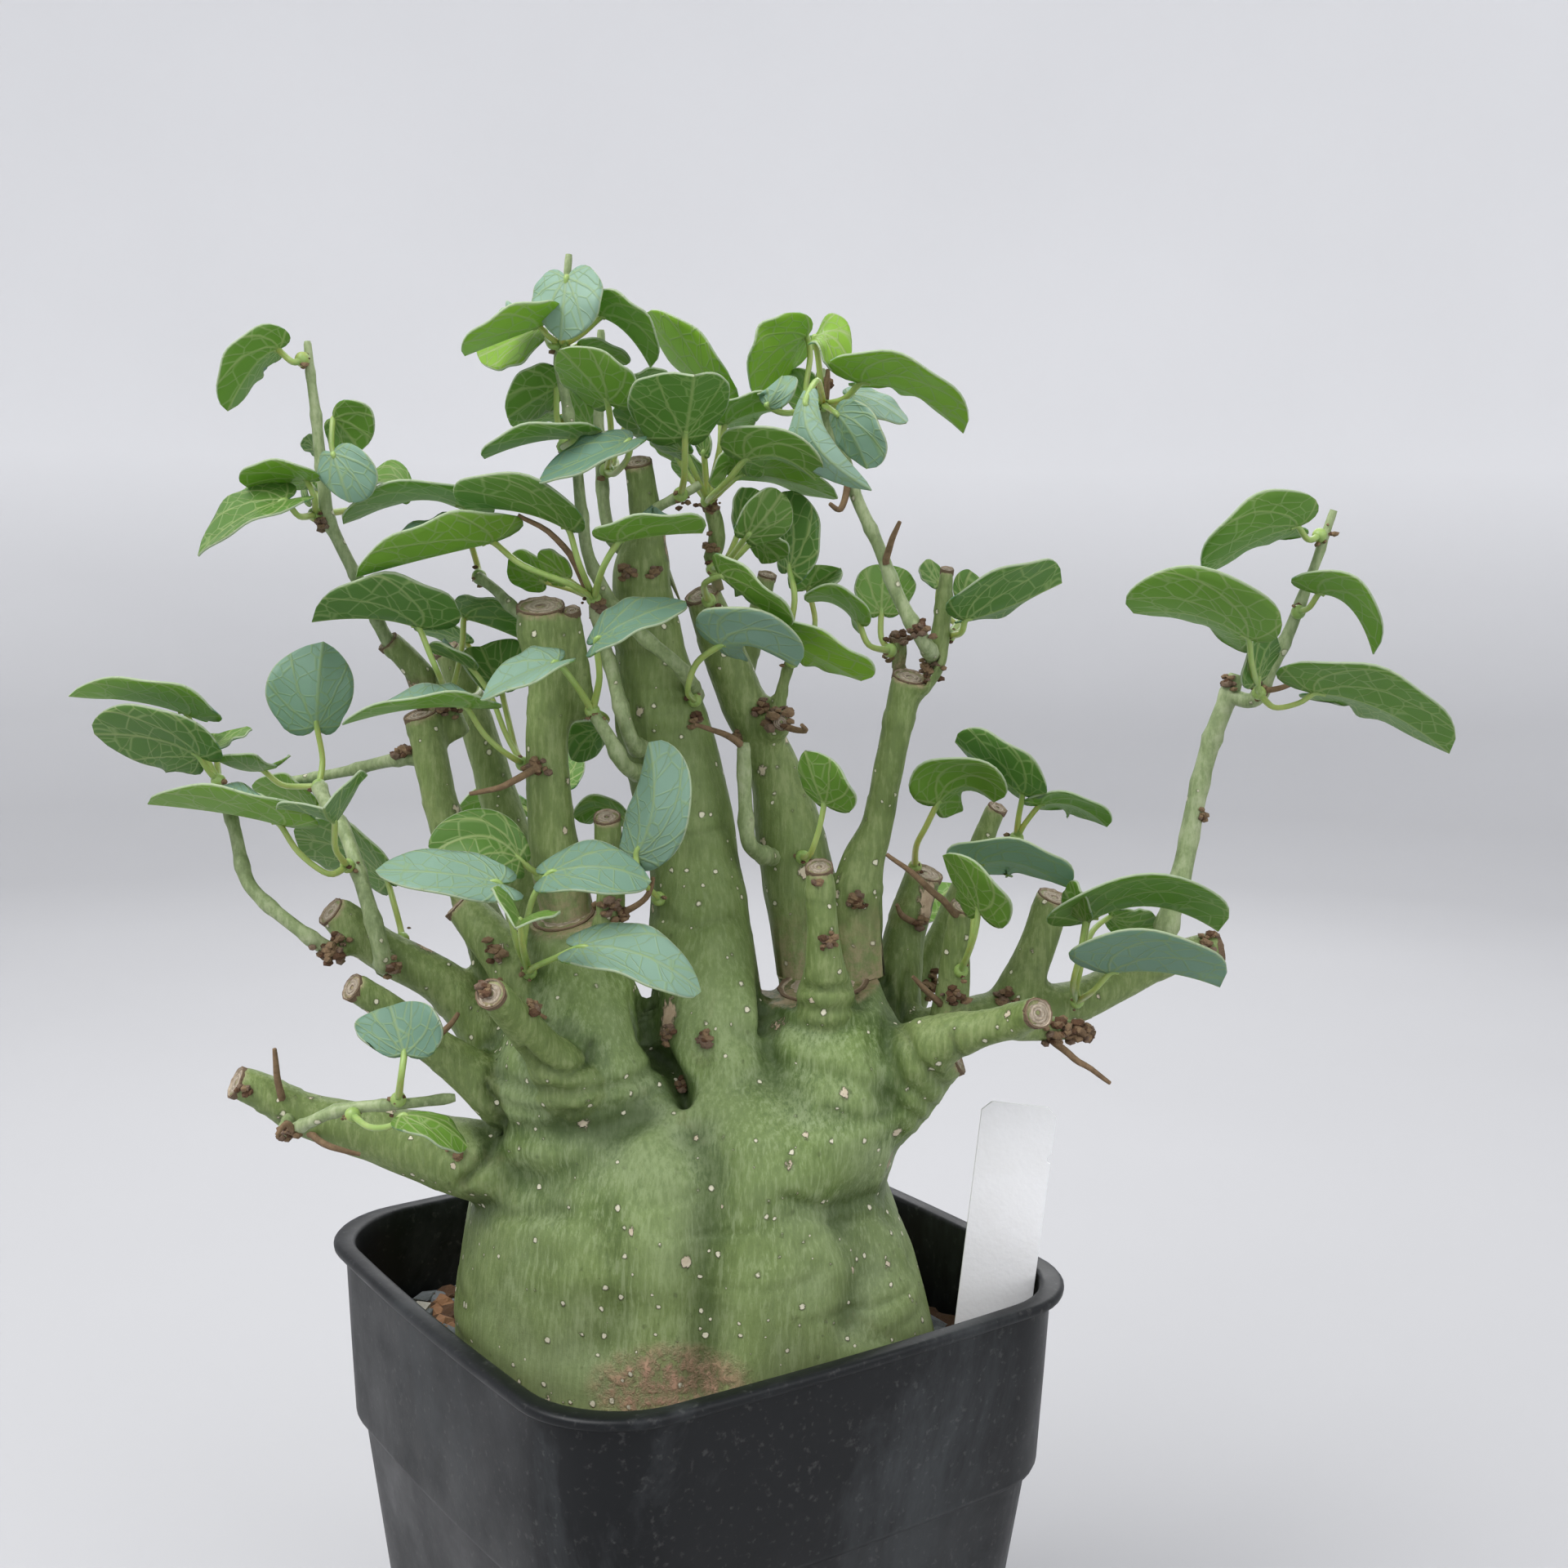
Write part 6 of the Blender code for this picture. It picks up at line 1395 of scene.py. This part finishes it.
# %% Leaf and stalk materials
def leaf_material():
    material, tree, shader, places = new_material("leathery_leaf", 0.45, Specular_IOR_Level=0.4)
    blade_places = add_node(tree, "Attribute", attribute_name="leaf_place").outputs["Vector"]
    pattern = use_group(tree, veins, {"Place": blade_places})
    tone_and_painted_glow = attribute_node(tree, "tone_and_painted_glow")
    upper = attribute_node(tree, "upper")
    cloud = noise_node(tree, places, 90.0, 4.0, 0.6)
    vein_show = add_node(tree, "MapRange", {"Value": upper, "To Min": 0.75, "To Max": 0.40}).outputs[0]
    # A random tone from dark to bright green; sunlit leaves get the top of it, which is painted light.
    blue = mix(tree, tone_and_painted_glow, (0.200, 0.355, 0.270), (0.390, 0.570, 0.470))
    green = mix(tree, tone_and_painted_glow, (0.115, 0.240, 0.050), (0.300, 0.530, 0.040))
    base = mix(tree, upper, green, blue)
    base = mix(tree, math_node(tree, "MULTIPLY", cloud, 0.28), base, (0.080, 0.165, 0.055))
    base = mix(tree, math_node(tree, "MULTIPLY", pattern.outputs["Net"], vein_show), base, (0.330, 0.450, 0.160))
    base = mix(tree, math_node(tree, "MULTIPLY", pattern.outputs["Veins"], vein_show), base, (0.400, 0.500, 0.190))
    base = mix(tree, math_node(tree, "MULTIPLY", pattern.outputs["Margin"], 0.70), base, (0.620, 0.680, 0.480))
    tree.links.new(base, shader.inputs["Base Color"])
    tree.links.new(mix(tree, upper, (0.42, 0.42, 0.42), (0.52, 0.52, 0.52)), shader.inputs["Roughness"])
    relief = math_node(tree, "MAXIMUM", pattern.outputs["Veins"], math_node(tree, "MULTIPLY", pattern.outputs["Net"], 0.5))
    tree.links.new(bumped(tree, relief, 0.0003, 0.6), shader.inputs["Normal"])
    glow = add_node(tree, "BsdfTranslucent", {"Color": mix(tree, 0.5, base, (0.22, 0.50, 0.03))})
    both = add_node(tree, "MixShader", {"Fac": 0.36})
    tree.links.new(shader.outputs[0], both.inputs[1])
    tree.links.new(glow.outputs[0], both.inputs[2])
    tree.links.new(both.outputs[0], tree.nodes["Material Output"].inputs["Surface"])
    return material


leaf_look = leaf_material()
stalk_look, tree, shader, places = new_material("green_leaf_stalk", 0.4, Subsurface_Weight=0.1)
tint = noise_node(tree, stretched(tree, places, (1, 1, 0.3)), 260.0, 3.0, 0.6)
tree.links.new(mix(tree, tint, (0.170, 0.310, 0.060), (0.420, 0.520, 0.160)), shader.inputs["Base Color"])
tree.links.new(bumped(tree, tint, 0.0002, 0.6), shader.inputs["Normal"])
print("leaf materials ready")

# %% Fit every leaf and its stalk
CUSHION_RADIUS = 0.0019
STALK_RADIUS = 0.00078
cushions = []
for cluster_name, (carrier, cushion, leaves) in CLUSTERS.items():
    outside = sum((seen(*leaf[5][-1]) for leaf in leaves), Vector()) / len(leaves)
    centre, up = seat_on(surfaces[carrier], outside, seen(*cushion), CUSHION_RADIUS * 0.55)
    cushions.append((centre, up))
    bpy.ops.object.select_all(action="DESELECT")
    bpy.ops.mesh.primitive_uv_sphere_add(segments=12, ring_count=8, radius=CUSHION_RADIUS, location=centre)
    grown = [bpy.context.object]
    bpy.ops.object.transform_apply(location=True, rotation=True, scale=True)
    bpy.ops.object.shade_smooth()
    grown[0].data.materials.append(stalk_look)
    for joint, middle, tip, side_a, side_b, bends in leaves:
        corners = [seen(*place) for place in (joint, middle, tip, side_a, side_b)]
        glaucous = min(math.hypot(middle[0] - c, middle[1] - r) for c, r in GLAUCOUS) < 40
        # Sunlit leaves get painted light in their colour, the others a random tone.
        lit = min(math.hypot(middle[0] - c, middle[1] - r) for c, r in SUNLIT) < 34
        blade = make_blade(corners, glaucous, 1.0 if lit else dice.uniform(0.0, 0.7))
        blade.data.materials.append(leaf_look)
        grown.append(blade)
        start = corners[0].lerp(midrib_point(*corners[:3], WIDEST)[0], 0.25)
        path = [start, corners[0], *(seen(*bend) for bend in bends), centre]
        path, radii = smooth_path(path, [STALK_RADIUS * 0.7] + [STALK_RADIUS] * (len(path) - 2) + [STALK_RADIUS * 1.25], 5)
        stalk = stem("stalk", path, radii, roundness=1)
        stalk.data.materials.clear()
        stalk.data.materials.append(stalk_look)
        bpy.ops.object.shade_smooth()
        grown.append(stalk)
    foliage = join_all(grown, cluster_name + "_foliage")
    finish_piece(foliage, cluster_name + "_foliage", [cluster_name])

# %% [markdown]
# The potting mix is gritty: bark chips, orange-brown clay grit and blue-grey stone. Its body is the
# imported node, which is right as it is and gets an earthy finish. Loose grains lie on it, made from a
# few faceted shapes with only twenty faces each, because there are hundreds of them.

# %% Body of the potting mix
earth, tree, shader, places = new_material("gritty_earth", 0.95)
clods = noise_node(tree, places, 240.0, 6.0, 0.7)
colour = ramp(tree, clods, (0.30, (0.020, 0.012, 0.008)), (0.55, (0.090, 0.050, 0.028)), (0.75, (0.200, 0.130, 0.080)))
tree.links.new(colour, shader.inputs["Base Color"])
tree.links.new(bumped(tree, clods, 0.003), shader.inputs["Normal"])
soil = nodes["potting_mix"]
soil.data.materials.clear()
soil.data.materials.append(earth)

# %% Loose grains on the mix
SOIL_Z = 0.124
GRAINS = 1500
grit_colours = {
    "bark_chip": ((0.050, 0.024, 0.012), (0.150, 0.075, 0.035)),
    "clay_grit": ((0.260, 0.120, 0.055), (0.420, 0.230, 0.120)),
    "grey_stone": ((0.100, 0.115, 0.130), (0.300, 0.320, 0.330)),
    "pale_pumice": ((0.380, 0.350, 0.300), (0.620, 0.590, 0.520)),
}
grit_looks = []
for grit_name, (dark, light) in grit_colours.items():
    material, tree, shader, places = new_material(grit_name, 0.9)
    tint = noise_node(tree, places, 330.0, 4.0, 0.7)
    tree.links.new(mix(tree, tint, dark, light), shader.inputs["Base Color"])
    tree.links.new(bumped(tree, noise_node(tree, places, 1400.0, 3.0, 0.7), 0.0005), shader.inputs["Normal"])
    grit_looks.append(material)
bpy.ops.object.select_all(action="DESELECT")
bpy.ops.mesh.primitive_ico_sphere_add(subdivisions=1, radius=1.0)
seed_shape = bpy.context.object
shape_points = points_of(seed_shape)
shape_faces = np.array([tuple(p.vertices) for p in seed_shape.data.polygons])
bpy.data.objects.remove(seed_shape)


def scatter(places_and_looks, name):
    """One mesh of faceted chunks; each is a centre, three half sizes and a material number."""
    all_points, all_faces, all_looks = [], [], []
    for centre, sizes, look in places_and_looks:
        knocked = shape_points * np.array([[dice.uniform(0.75, 1.1)] for _ in shape_points])
        turn = np.array(Matrix.Rotation(dice.uniform(0, 6.28), 3, "Z") @ Matrix.Rotation(dice.uniform(-0.6, 0.6), 3, "X"))
        all_faces.append(shape_faces + len(shape_points) * len(all_points))
        all_points.append((knocked * np.array(sizes)) @ turn.T + np.array(centre))
        all_looks += [look] * len(shape_faces)
    mesh = bpy.data.meshes.new(name)
    mesh.from_pydata(np.concatenate(all_points).tolist(), [], np.concatenate(all_faces).tolist())
    mesh.polygons.foreach_set("material_index", all_looks)
    obj = bpy.data.objects.new(name, mesh)
    bpy.context.collection.objects.link(obj)
    return obj


chunks = []
trunk_surface = surfaces["caudex"]
while len(chunks) < GRAINS:
    x, y = dice.uniform(-0.0675, 0.0675), dice.uniform(-0.0675, 0.0675)
    if (abs(x) / 0.0685) ** 5 + (abs(y) / 0.0685) ** 5 > 1:
        continue
    size = dice.choice((0.0012, 0.0016, 0.0022, 0.0030, 0.0040))
    hit, normal, _, apart = trunk_surface.find_nearest(Vector((x, y, SOIL_Z)))
    if (Vector((x, y, SOIL_Z)) - hit).dot(normal) < size * 0.3:
        if dice.random() > 0.02:
            continue
    rough = 0.0022 * noise.noise(Vector((x, y, 0)) * 60)
    long = dice.uniform(1.0, 1.8)
    look = dice.choice((0, 0, 0, 1, 1, 2, 2, 3))
    chunks.append(((x, y, SOIL_Z + size * 0.25 + rough), (size * long, size, size * dice.uniform(0.5, 0.9)), look))
grains = scatter(chunks, "mix_grains")
for material in grit_looks:
    grains.data.materials.append(material)
finish_piece(grains, "mix_grains")

# %% [markdown]
# The plant label is a stake of thin white plastic. It is bare here. A flat sheet is cut to its
# outline, with clipped top corners and a small nick in one edge, thickened, and its edges rounded.

# %% Model the label
LABEL_WIDTH = 0.0192
LABEL_LENGTH = 0.098
LABEL_THICKNESS = 0.0008
foot = seen(1212, 1640, -10)
head = seen(1249, 1352, -10)
up_label = (head - foot).normalized()
across = seen(1282, 1356, -10) - seen(1216, 1349, -10)
across = (across - up_label * across.dot(up_label)).normalized()
out_of_face = up_label.cross(across)
bpy.ops.object.select_all(action="DESELECT")
bpy.ops.mesh.primitive_plane_add(size=1)
label = bpy.context.object
label.scale = (LABEL_WIDTH, LABEL_LENGTH, 1)
bpy.ops.object.transform_apply(scale=True)
bpy.ops.object.mode_set(mode="EDIT")
bpy.ops.mesh.select_all(action="DESELECT")
work = bmesh.from_edit_mesh(label.data)
for vertex in work.verts:
    vertex.select_set(vertex.co.y > 0)
work.select_flush_mode()
bpy.ops.mesh.bevel(offset=0.0024, segments=1, affect="VERTICES")
bpy.ops.mesh.select_all(action="DESELECT")
work = bmesh.from_edit_mesh(label.data)
for vertex in work.verts:
    vertex.select_set(vertex.co.y < 0)
work.select_flush_mode()
bpy.ops.mesh.bevel(offset=0.0075, segments=1, affect="VERTICES")
bpy.ops.object.mode_set(mode="OBJECT")
nick = LABEL_LENGTH / 2 - 0.0135
bpy.ops.mesh.primitive_cylinder_add(vertices=24, radius=0.0011, depth=0.01, location=(LABEL_WIDTH / 2, nick, 0))
nick_cutter = bpy.context.object
wall = label.modifiers.new("Thickness", "SOLIDIFY")
wall.thickness = LABEL_THICKNESS
wall.offset = 0.0
cut = label.modifiers.new("Nick", "BOOLEAN")
cut.object = nick_cutter
soft_edge = label.modifiers.new("SoftEdge", "BEVEL")
soft_edge.width = 0.00012
soft_edge.segments = 2
apply_modifiers(label)
bpy.data.objects.remove(nick_cutter)
middle = head - up_label * LABEL_LENGTH / 2
label.matrix_world = Matrix((
    (across.x, up_label.x, -out_of_face.x, middle.x),
    (across.y, up_label.y, -out_of_face.y, middle.y),
    (across.z, up_label.z, -out_of_face.z, middle.z),
    (0.0, 0.0, 0.0, 1.0)))
finish_piece(label, "label_stake", ["plant_label"])
white, tree, shader, places = new_material("white_label_plastic", 0.4)
worn = ramp(tree, noise_node(tree, places, 60.0, 6.0, 0.7), (0.45, 0.0), (0.75, 1.0))
colour = mix(tree, math_node(tree, "MULTIPLY", worn, 0.25), (0.90, 0.90, 0.91), (0.74, 0.73, 0.70))
heights = add_node(tree, "SeparateXYZ", {"Vector": places}).outputs["Z"]
dirty = add_node(tree, "MapRange", {"Value": heights, "From Min": 0.136, "From Max": 0.122}).outputs[0]
colour = mix(tree, math_node(tree, "MULTIPLY", dirty, 0.7), colour, (0.20, 0.14, 0.09))
tree.links.new(colour, shader.inputs["Base Color"])
tree.links.new(ramp(tree, worn, (0.0, 0.33), (1.0, 0.5)), shader.inputs["Roughness"])
tree.links.new(bumped(tree, noise_node(tree, places, 700.0, 2.0), 0.0001), shader.inputs["Normal"])
label.data.materials.clear()
label.data.materials.append(white)

# %% [markdown]
# Small dry things make the plant look old: crumbly brown bud scales where leaves rise, and thin dead
# twigs and tendrils. The scales reuse the faceted chunk, and the twigs are fine stems.

# %% Bud scales and dead twigs
dry, tree, shader, places = new_material("dry_bud_scale", 0.95)
tint = noise_node(tree, places, 420.0, 4.0, 0.7)
tree.links.new(mix(tree, tint, (0.060, 0.032, 0.016), (0.330, 0.220, 0.120)), shader.inputs["Base Color"])
tree.links.new(bumped(tree, tint, 0.0006), shader.inputs["Normal"])
every_surface = list(surfaces.values())


def first_hit(column, row):
    """Where the way from the camera through a place in the photograph first meets the plant's wood."""
    way = way_to(column, row).normalized()
    hits = [surface.ray_cast(EYE, way, 1.0) for surface in every_surface]
    hits = [(distance, hit, normal) for hit, normal, _, distance in hits if hit is not None]
    return min(hits, key=lambda found: found[0]) if hits else None


# A knot of dead bud scales: column, row, and how wide it is in millimetres.
KNOTS = (
    (955, 878, 9), (936, 868, 6), (880, 905, 5), (657, 940, 6), (492, 922, 7), (402, 1168, 7), (412, 1150, 5),
    (1140, 822, 7), (1130, 770, 6), (1100, 780, 5), (1462, 928, 6), (1472, 1000, 3), (1506, 836, 4), (1545, 845, 4),
    (608, 1165, 6), (650, 1235, 6), (596, 1212, 5), (745, 1110, 7), (760, 1120, 5), (1012, 1150, 5), (1048, 1102, 6),
    (1052, 940, 4), (1140, 1206, 7), (1170, 1222, 6), (1230, 1218, 6), (1290, 1190, 6), (1320, 1195, 5), (1290, 1258, 7),
    (1312, 1265, 7), (1330, 1268, 5), (1480, 1150, 6), (1182, 1040, 4), (545, 870, 5), (545, 1170, 5), (480, 1185, 5),
    (395, 640, 4), (690, 735, 5), (730, 742, 5), (676, 560, 4), (700, 560, 4), (870, 620, 4), (870, 670, 4), (820, 690, 5),
    (770, 700, 5), (800, 700, 4), (1010, 470, 4), (1022, 490, 4), (1040, 590, 3), (820, 1265, 5), (866, 1272, 5),
    (945, 1210, 4), (835, 1330, 4), (355, 1385, 5), (345, 1390, 4), (560, 1412, 4), (300, 1335, 3), (1000, 1080, 2),
    (700, 905, 2), (640, 905, 2), (905, 900, 4), (850, 880, 4), (940, 1125, 4), (1188, 1100, 4), (1126, 1130, 4),
)
scales = []
for column, row, wide in KNOTS:
    found = first_hit(column, row)
    if found is None:
        continue
    _, hit, normal = found
    for _ in range(int(7 + 1.6 * wide)):
        spread = wide * MM * 0.21
        place = hit + Vector([dice.gauss(0, spread) for _ in range(3)])
        onto, onto_normal, _, apart = min((surface.find_nearest(place) for surface in every_surface),
                                          key=lambda near: near[3])
        size = dice.uniform(0.0006, 0.0013) * (0.7 + wide * 0.07)
        lifted = onto + onto_normal * (size * 0.3 + dice.uniform(0, 0.0008) * wide / 7)
        if apart < wide * MM * 0.5:
            scales.append((lifted, (size * 1.4, size, size * 0.8), dice.choice((0, 0, 1, 2))))
for centre, up in cushions:
    for _ in range(9):
        place = centre - up * 0.0008 + Vector([dice.gauss(0, 0.0012) for _ in range(3)])
        size = dice.uniform(0.0004, 0.0010)
        scales.append((place, (size * 1.4, size, size * 0.8), dice.choice((0, 0, 1))))
bud_scales = scatter(scales, "bud_scales")
bud_scales.data.materials.append(dry)
bud_scales.data.materials.append(grit_looks[0])
bud_scales.data.materials.append(cut_look)
finish_piece(bud_scales, "bud_scales")
print(len(scales), "scales")

# %% Dead twigs
# A twig's first place is on the plant's wood; the others are column, row and millimetres nearer.
DEAD_TWIGS = (
    ((1285, 1272), (1322, 1300, 6), (1360, 1326, 4)), ((334, 1300), (346, 1310, 5), (368, 1344, 6)),
    ((378, 1390), (404, 1404, 6), (440, 1412, 5)), ((1300, 1096), (1318, 1084, 3), (1334, 1058, 3)),
    ((1040, 590), (1030, 622, 3), (1016, 618, 5)), ((1085, 690), (1092, 660, 4), (1103, 638, 6)),
    ((728, 738), (690, 668, 8), (634, 630, 10)), ((660, 938), (620, 962, 8), (576, 972, 8)),
    ((862, 690), (850, 716, 6), (838, 742, 8)), ((1170, 1120), (1130, 1080, 10), (1086, 1046, 10)),
    ((1540, 846), (1570, 842, 3), (1596, 832, 4)), ((470, 1272), (440, 1276, 4), (406, 1274, 4)),
    ((360, 1388), (350, 1376, 3), (338, 1392, 5)), ((905, 912), (880, 896, 5), (850, 888, 8)),
    ((960, 890), (985, 895, 4), (982, 888, 8)), ((612, 1200), (620, 1222, 6), (668, 1248, 8)),
    ((530, 1275), (545, 1262, 4), (560, 1240, 4)), ((1462, 928), (1468, 915, 3), (1474, 905, 4)),
    ((1010, 500), (1012, 470, 3), (1014, 452, 3)), ((760, 1120), (790, 1100, 4), (800, 1075, 6)),
    ((345, 1345), (338, 1310, 3), (336, 1284, 4)), ((500, 1290), (480, 1320, 5), (474, 1345, 6)),
    ((1150, 1230), (1132, 1212, 4), (1118, 1196, 6)), ((1120, 1130), (1104, 1120, 4), (1096, 1108, 6)),
    ((545, 1160), (535, 1140, 4), (532, 1122, 5)), ((1215, 735), (1190, 742, 3), (1168, 745, 3)),
)
twigs = []
for (column, row), *others in DEAD_TWIGS:
    found = first_hit(column, row)
    if found is None:
        continue
    _, hit, normal = found
    behind = hit.dot(AWAY) / MM
    path = [hit - normal * 0.0004] + [seen(c, r, behind - nearer) for c, r, nearer in others]
    path, radii = smooth_path(path, [0.0010, 0.0008, 0.0005], 6)
    path = [path[0]] + [point + Vector(noise.noise_vector(point * 150)) * 0.0006 for point in path[1:]]
    twigs.append(stem("twig", path, radii, roundness=1))
dead_twigs = join_all(twigs, "dead_twigs")
dead_twigs.data.materials.clear()
dead_twigs.data.materials.append(dry)
finish_piece(dead_twigs, "dead_twigs")

# %% [markdown]
# The plant stands on a plain pale floor that curves up all round into a pale wall, like a light tent,
# so no horizon shows from any side. A large soft light hangs over it to the left, and a weaker one
# fills from the right.

# %% Room and lights
bpy.ops.object.select_all(action="DESELECT")
bpy.ops.mesh.primitive_circle_add(vertices=96, radius=1.6, fill_type="NGON")
room = bpy.context.object
bpy.ops.object.mode_set(mode="EDIT")
bpy.ops.mesh.select_all(action="SELECT")
ROOM_CURVE = ((1.6, 0.0), (1.9, 0.04), (2.15, 0.14), (2.35, 0.32), (2.45, 0.60), (2.5, 1.0), (2.5, 2.6))
work = bmesh.from_edit_mesh(room.data)
for edge in work.edges:
    edge.select_set(True)
for (old_radius, old_z), (new_radius, new_z) in zip(ROOM_CURVE, ROOM_CURVE[1:]):
    bpy.ops.mesh.select_all(action="DESELECT")
    work = bmesh.from_edit_mesh(room.data)
    for edge in work.edges:
        edge.select_set(edge.is_boundary)
    bpy.ops.mesh.extrude_edges_move(TRANSFORM_OT_translate={"value": (0, 0, new_z - old_z)})
    ratio = new_radius / old_radius
    bpy.ops.transform.resize(value=(ratio, ratio, 1), center_override=(0, 0, new_z))
bpy.ops.object.mode_set(mode="OBJECT")
bpy.ops.object.shade_smooth()
room.name = "pale_room"
room.location.z = -0.0002
pale, tree, shader, places = new_material("pale_paper", 0.9)
tint = noise_node(tree, places, 2.2, 3.0, 0.5)
height = add_node(tree, "SeparateXYZ", {"Vector": places}).outputs["Z"]
wall_share = add_node(tree, "MapRange", {"Value": height, "From Min": 0.0, "From Max": 0.5}).outputs[0]
wall_colour = mix(tree, tint, (0.84, 0.84, 0.85), (0.90, 0.90, 0.91))
floor_colour = mix(tree, tint, (0.45, 0.45, 0.46), (0.49, 0.49, 0.50))
tree.links.new(mix(tree, wall_share, floor_colour, wall_colour), shader.inputs["Base Color"])
room.data.materials.append(pale)


def soft_light(name, place, aim, size, power):
    bpy.ops.object.light_add(type="AREA", location=place)
    light = bpy.context.object
    light.name = name
    light.data.size = size
    light.data.energy = power
    light.rotation_euler = (aim - place).to_track_quat("-Z", "Y").to_euler()


aim = Vector((0, 0, 0.22))
side = Vector((AWAY.y, -AWAY.x, 0.0))
soft_light("key_light", -side * 0.75 - AWAY * 0.55 + Vector((0, 0, 1.45)), aim, 1.1, 24.0)
soft_light("fill_light", side * 1.0 - AWAY * 0.8 + Vector((0, 0, 0.9)), aim, 1.2, 7.0)
soft_light("back_light", AWAY * 1.2 + side * 0.2 + Vector((0, 0, 1.2)), aim, 1.2, 10.0)
world = bpy.data.worlds.new("pale_sky")
bpy.context.scene.world = world
world.use_nodes = True
world.node_tree.nodes["Background"].inputs["Color"].default_value = (0.93, 0.95, 1.0, 1.0)
world.node_tree.nodes["Background"].inputs["Strength"].default_value = 0.75
print("room ready")
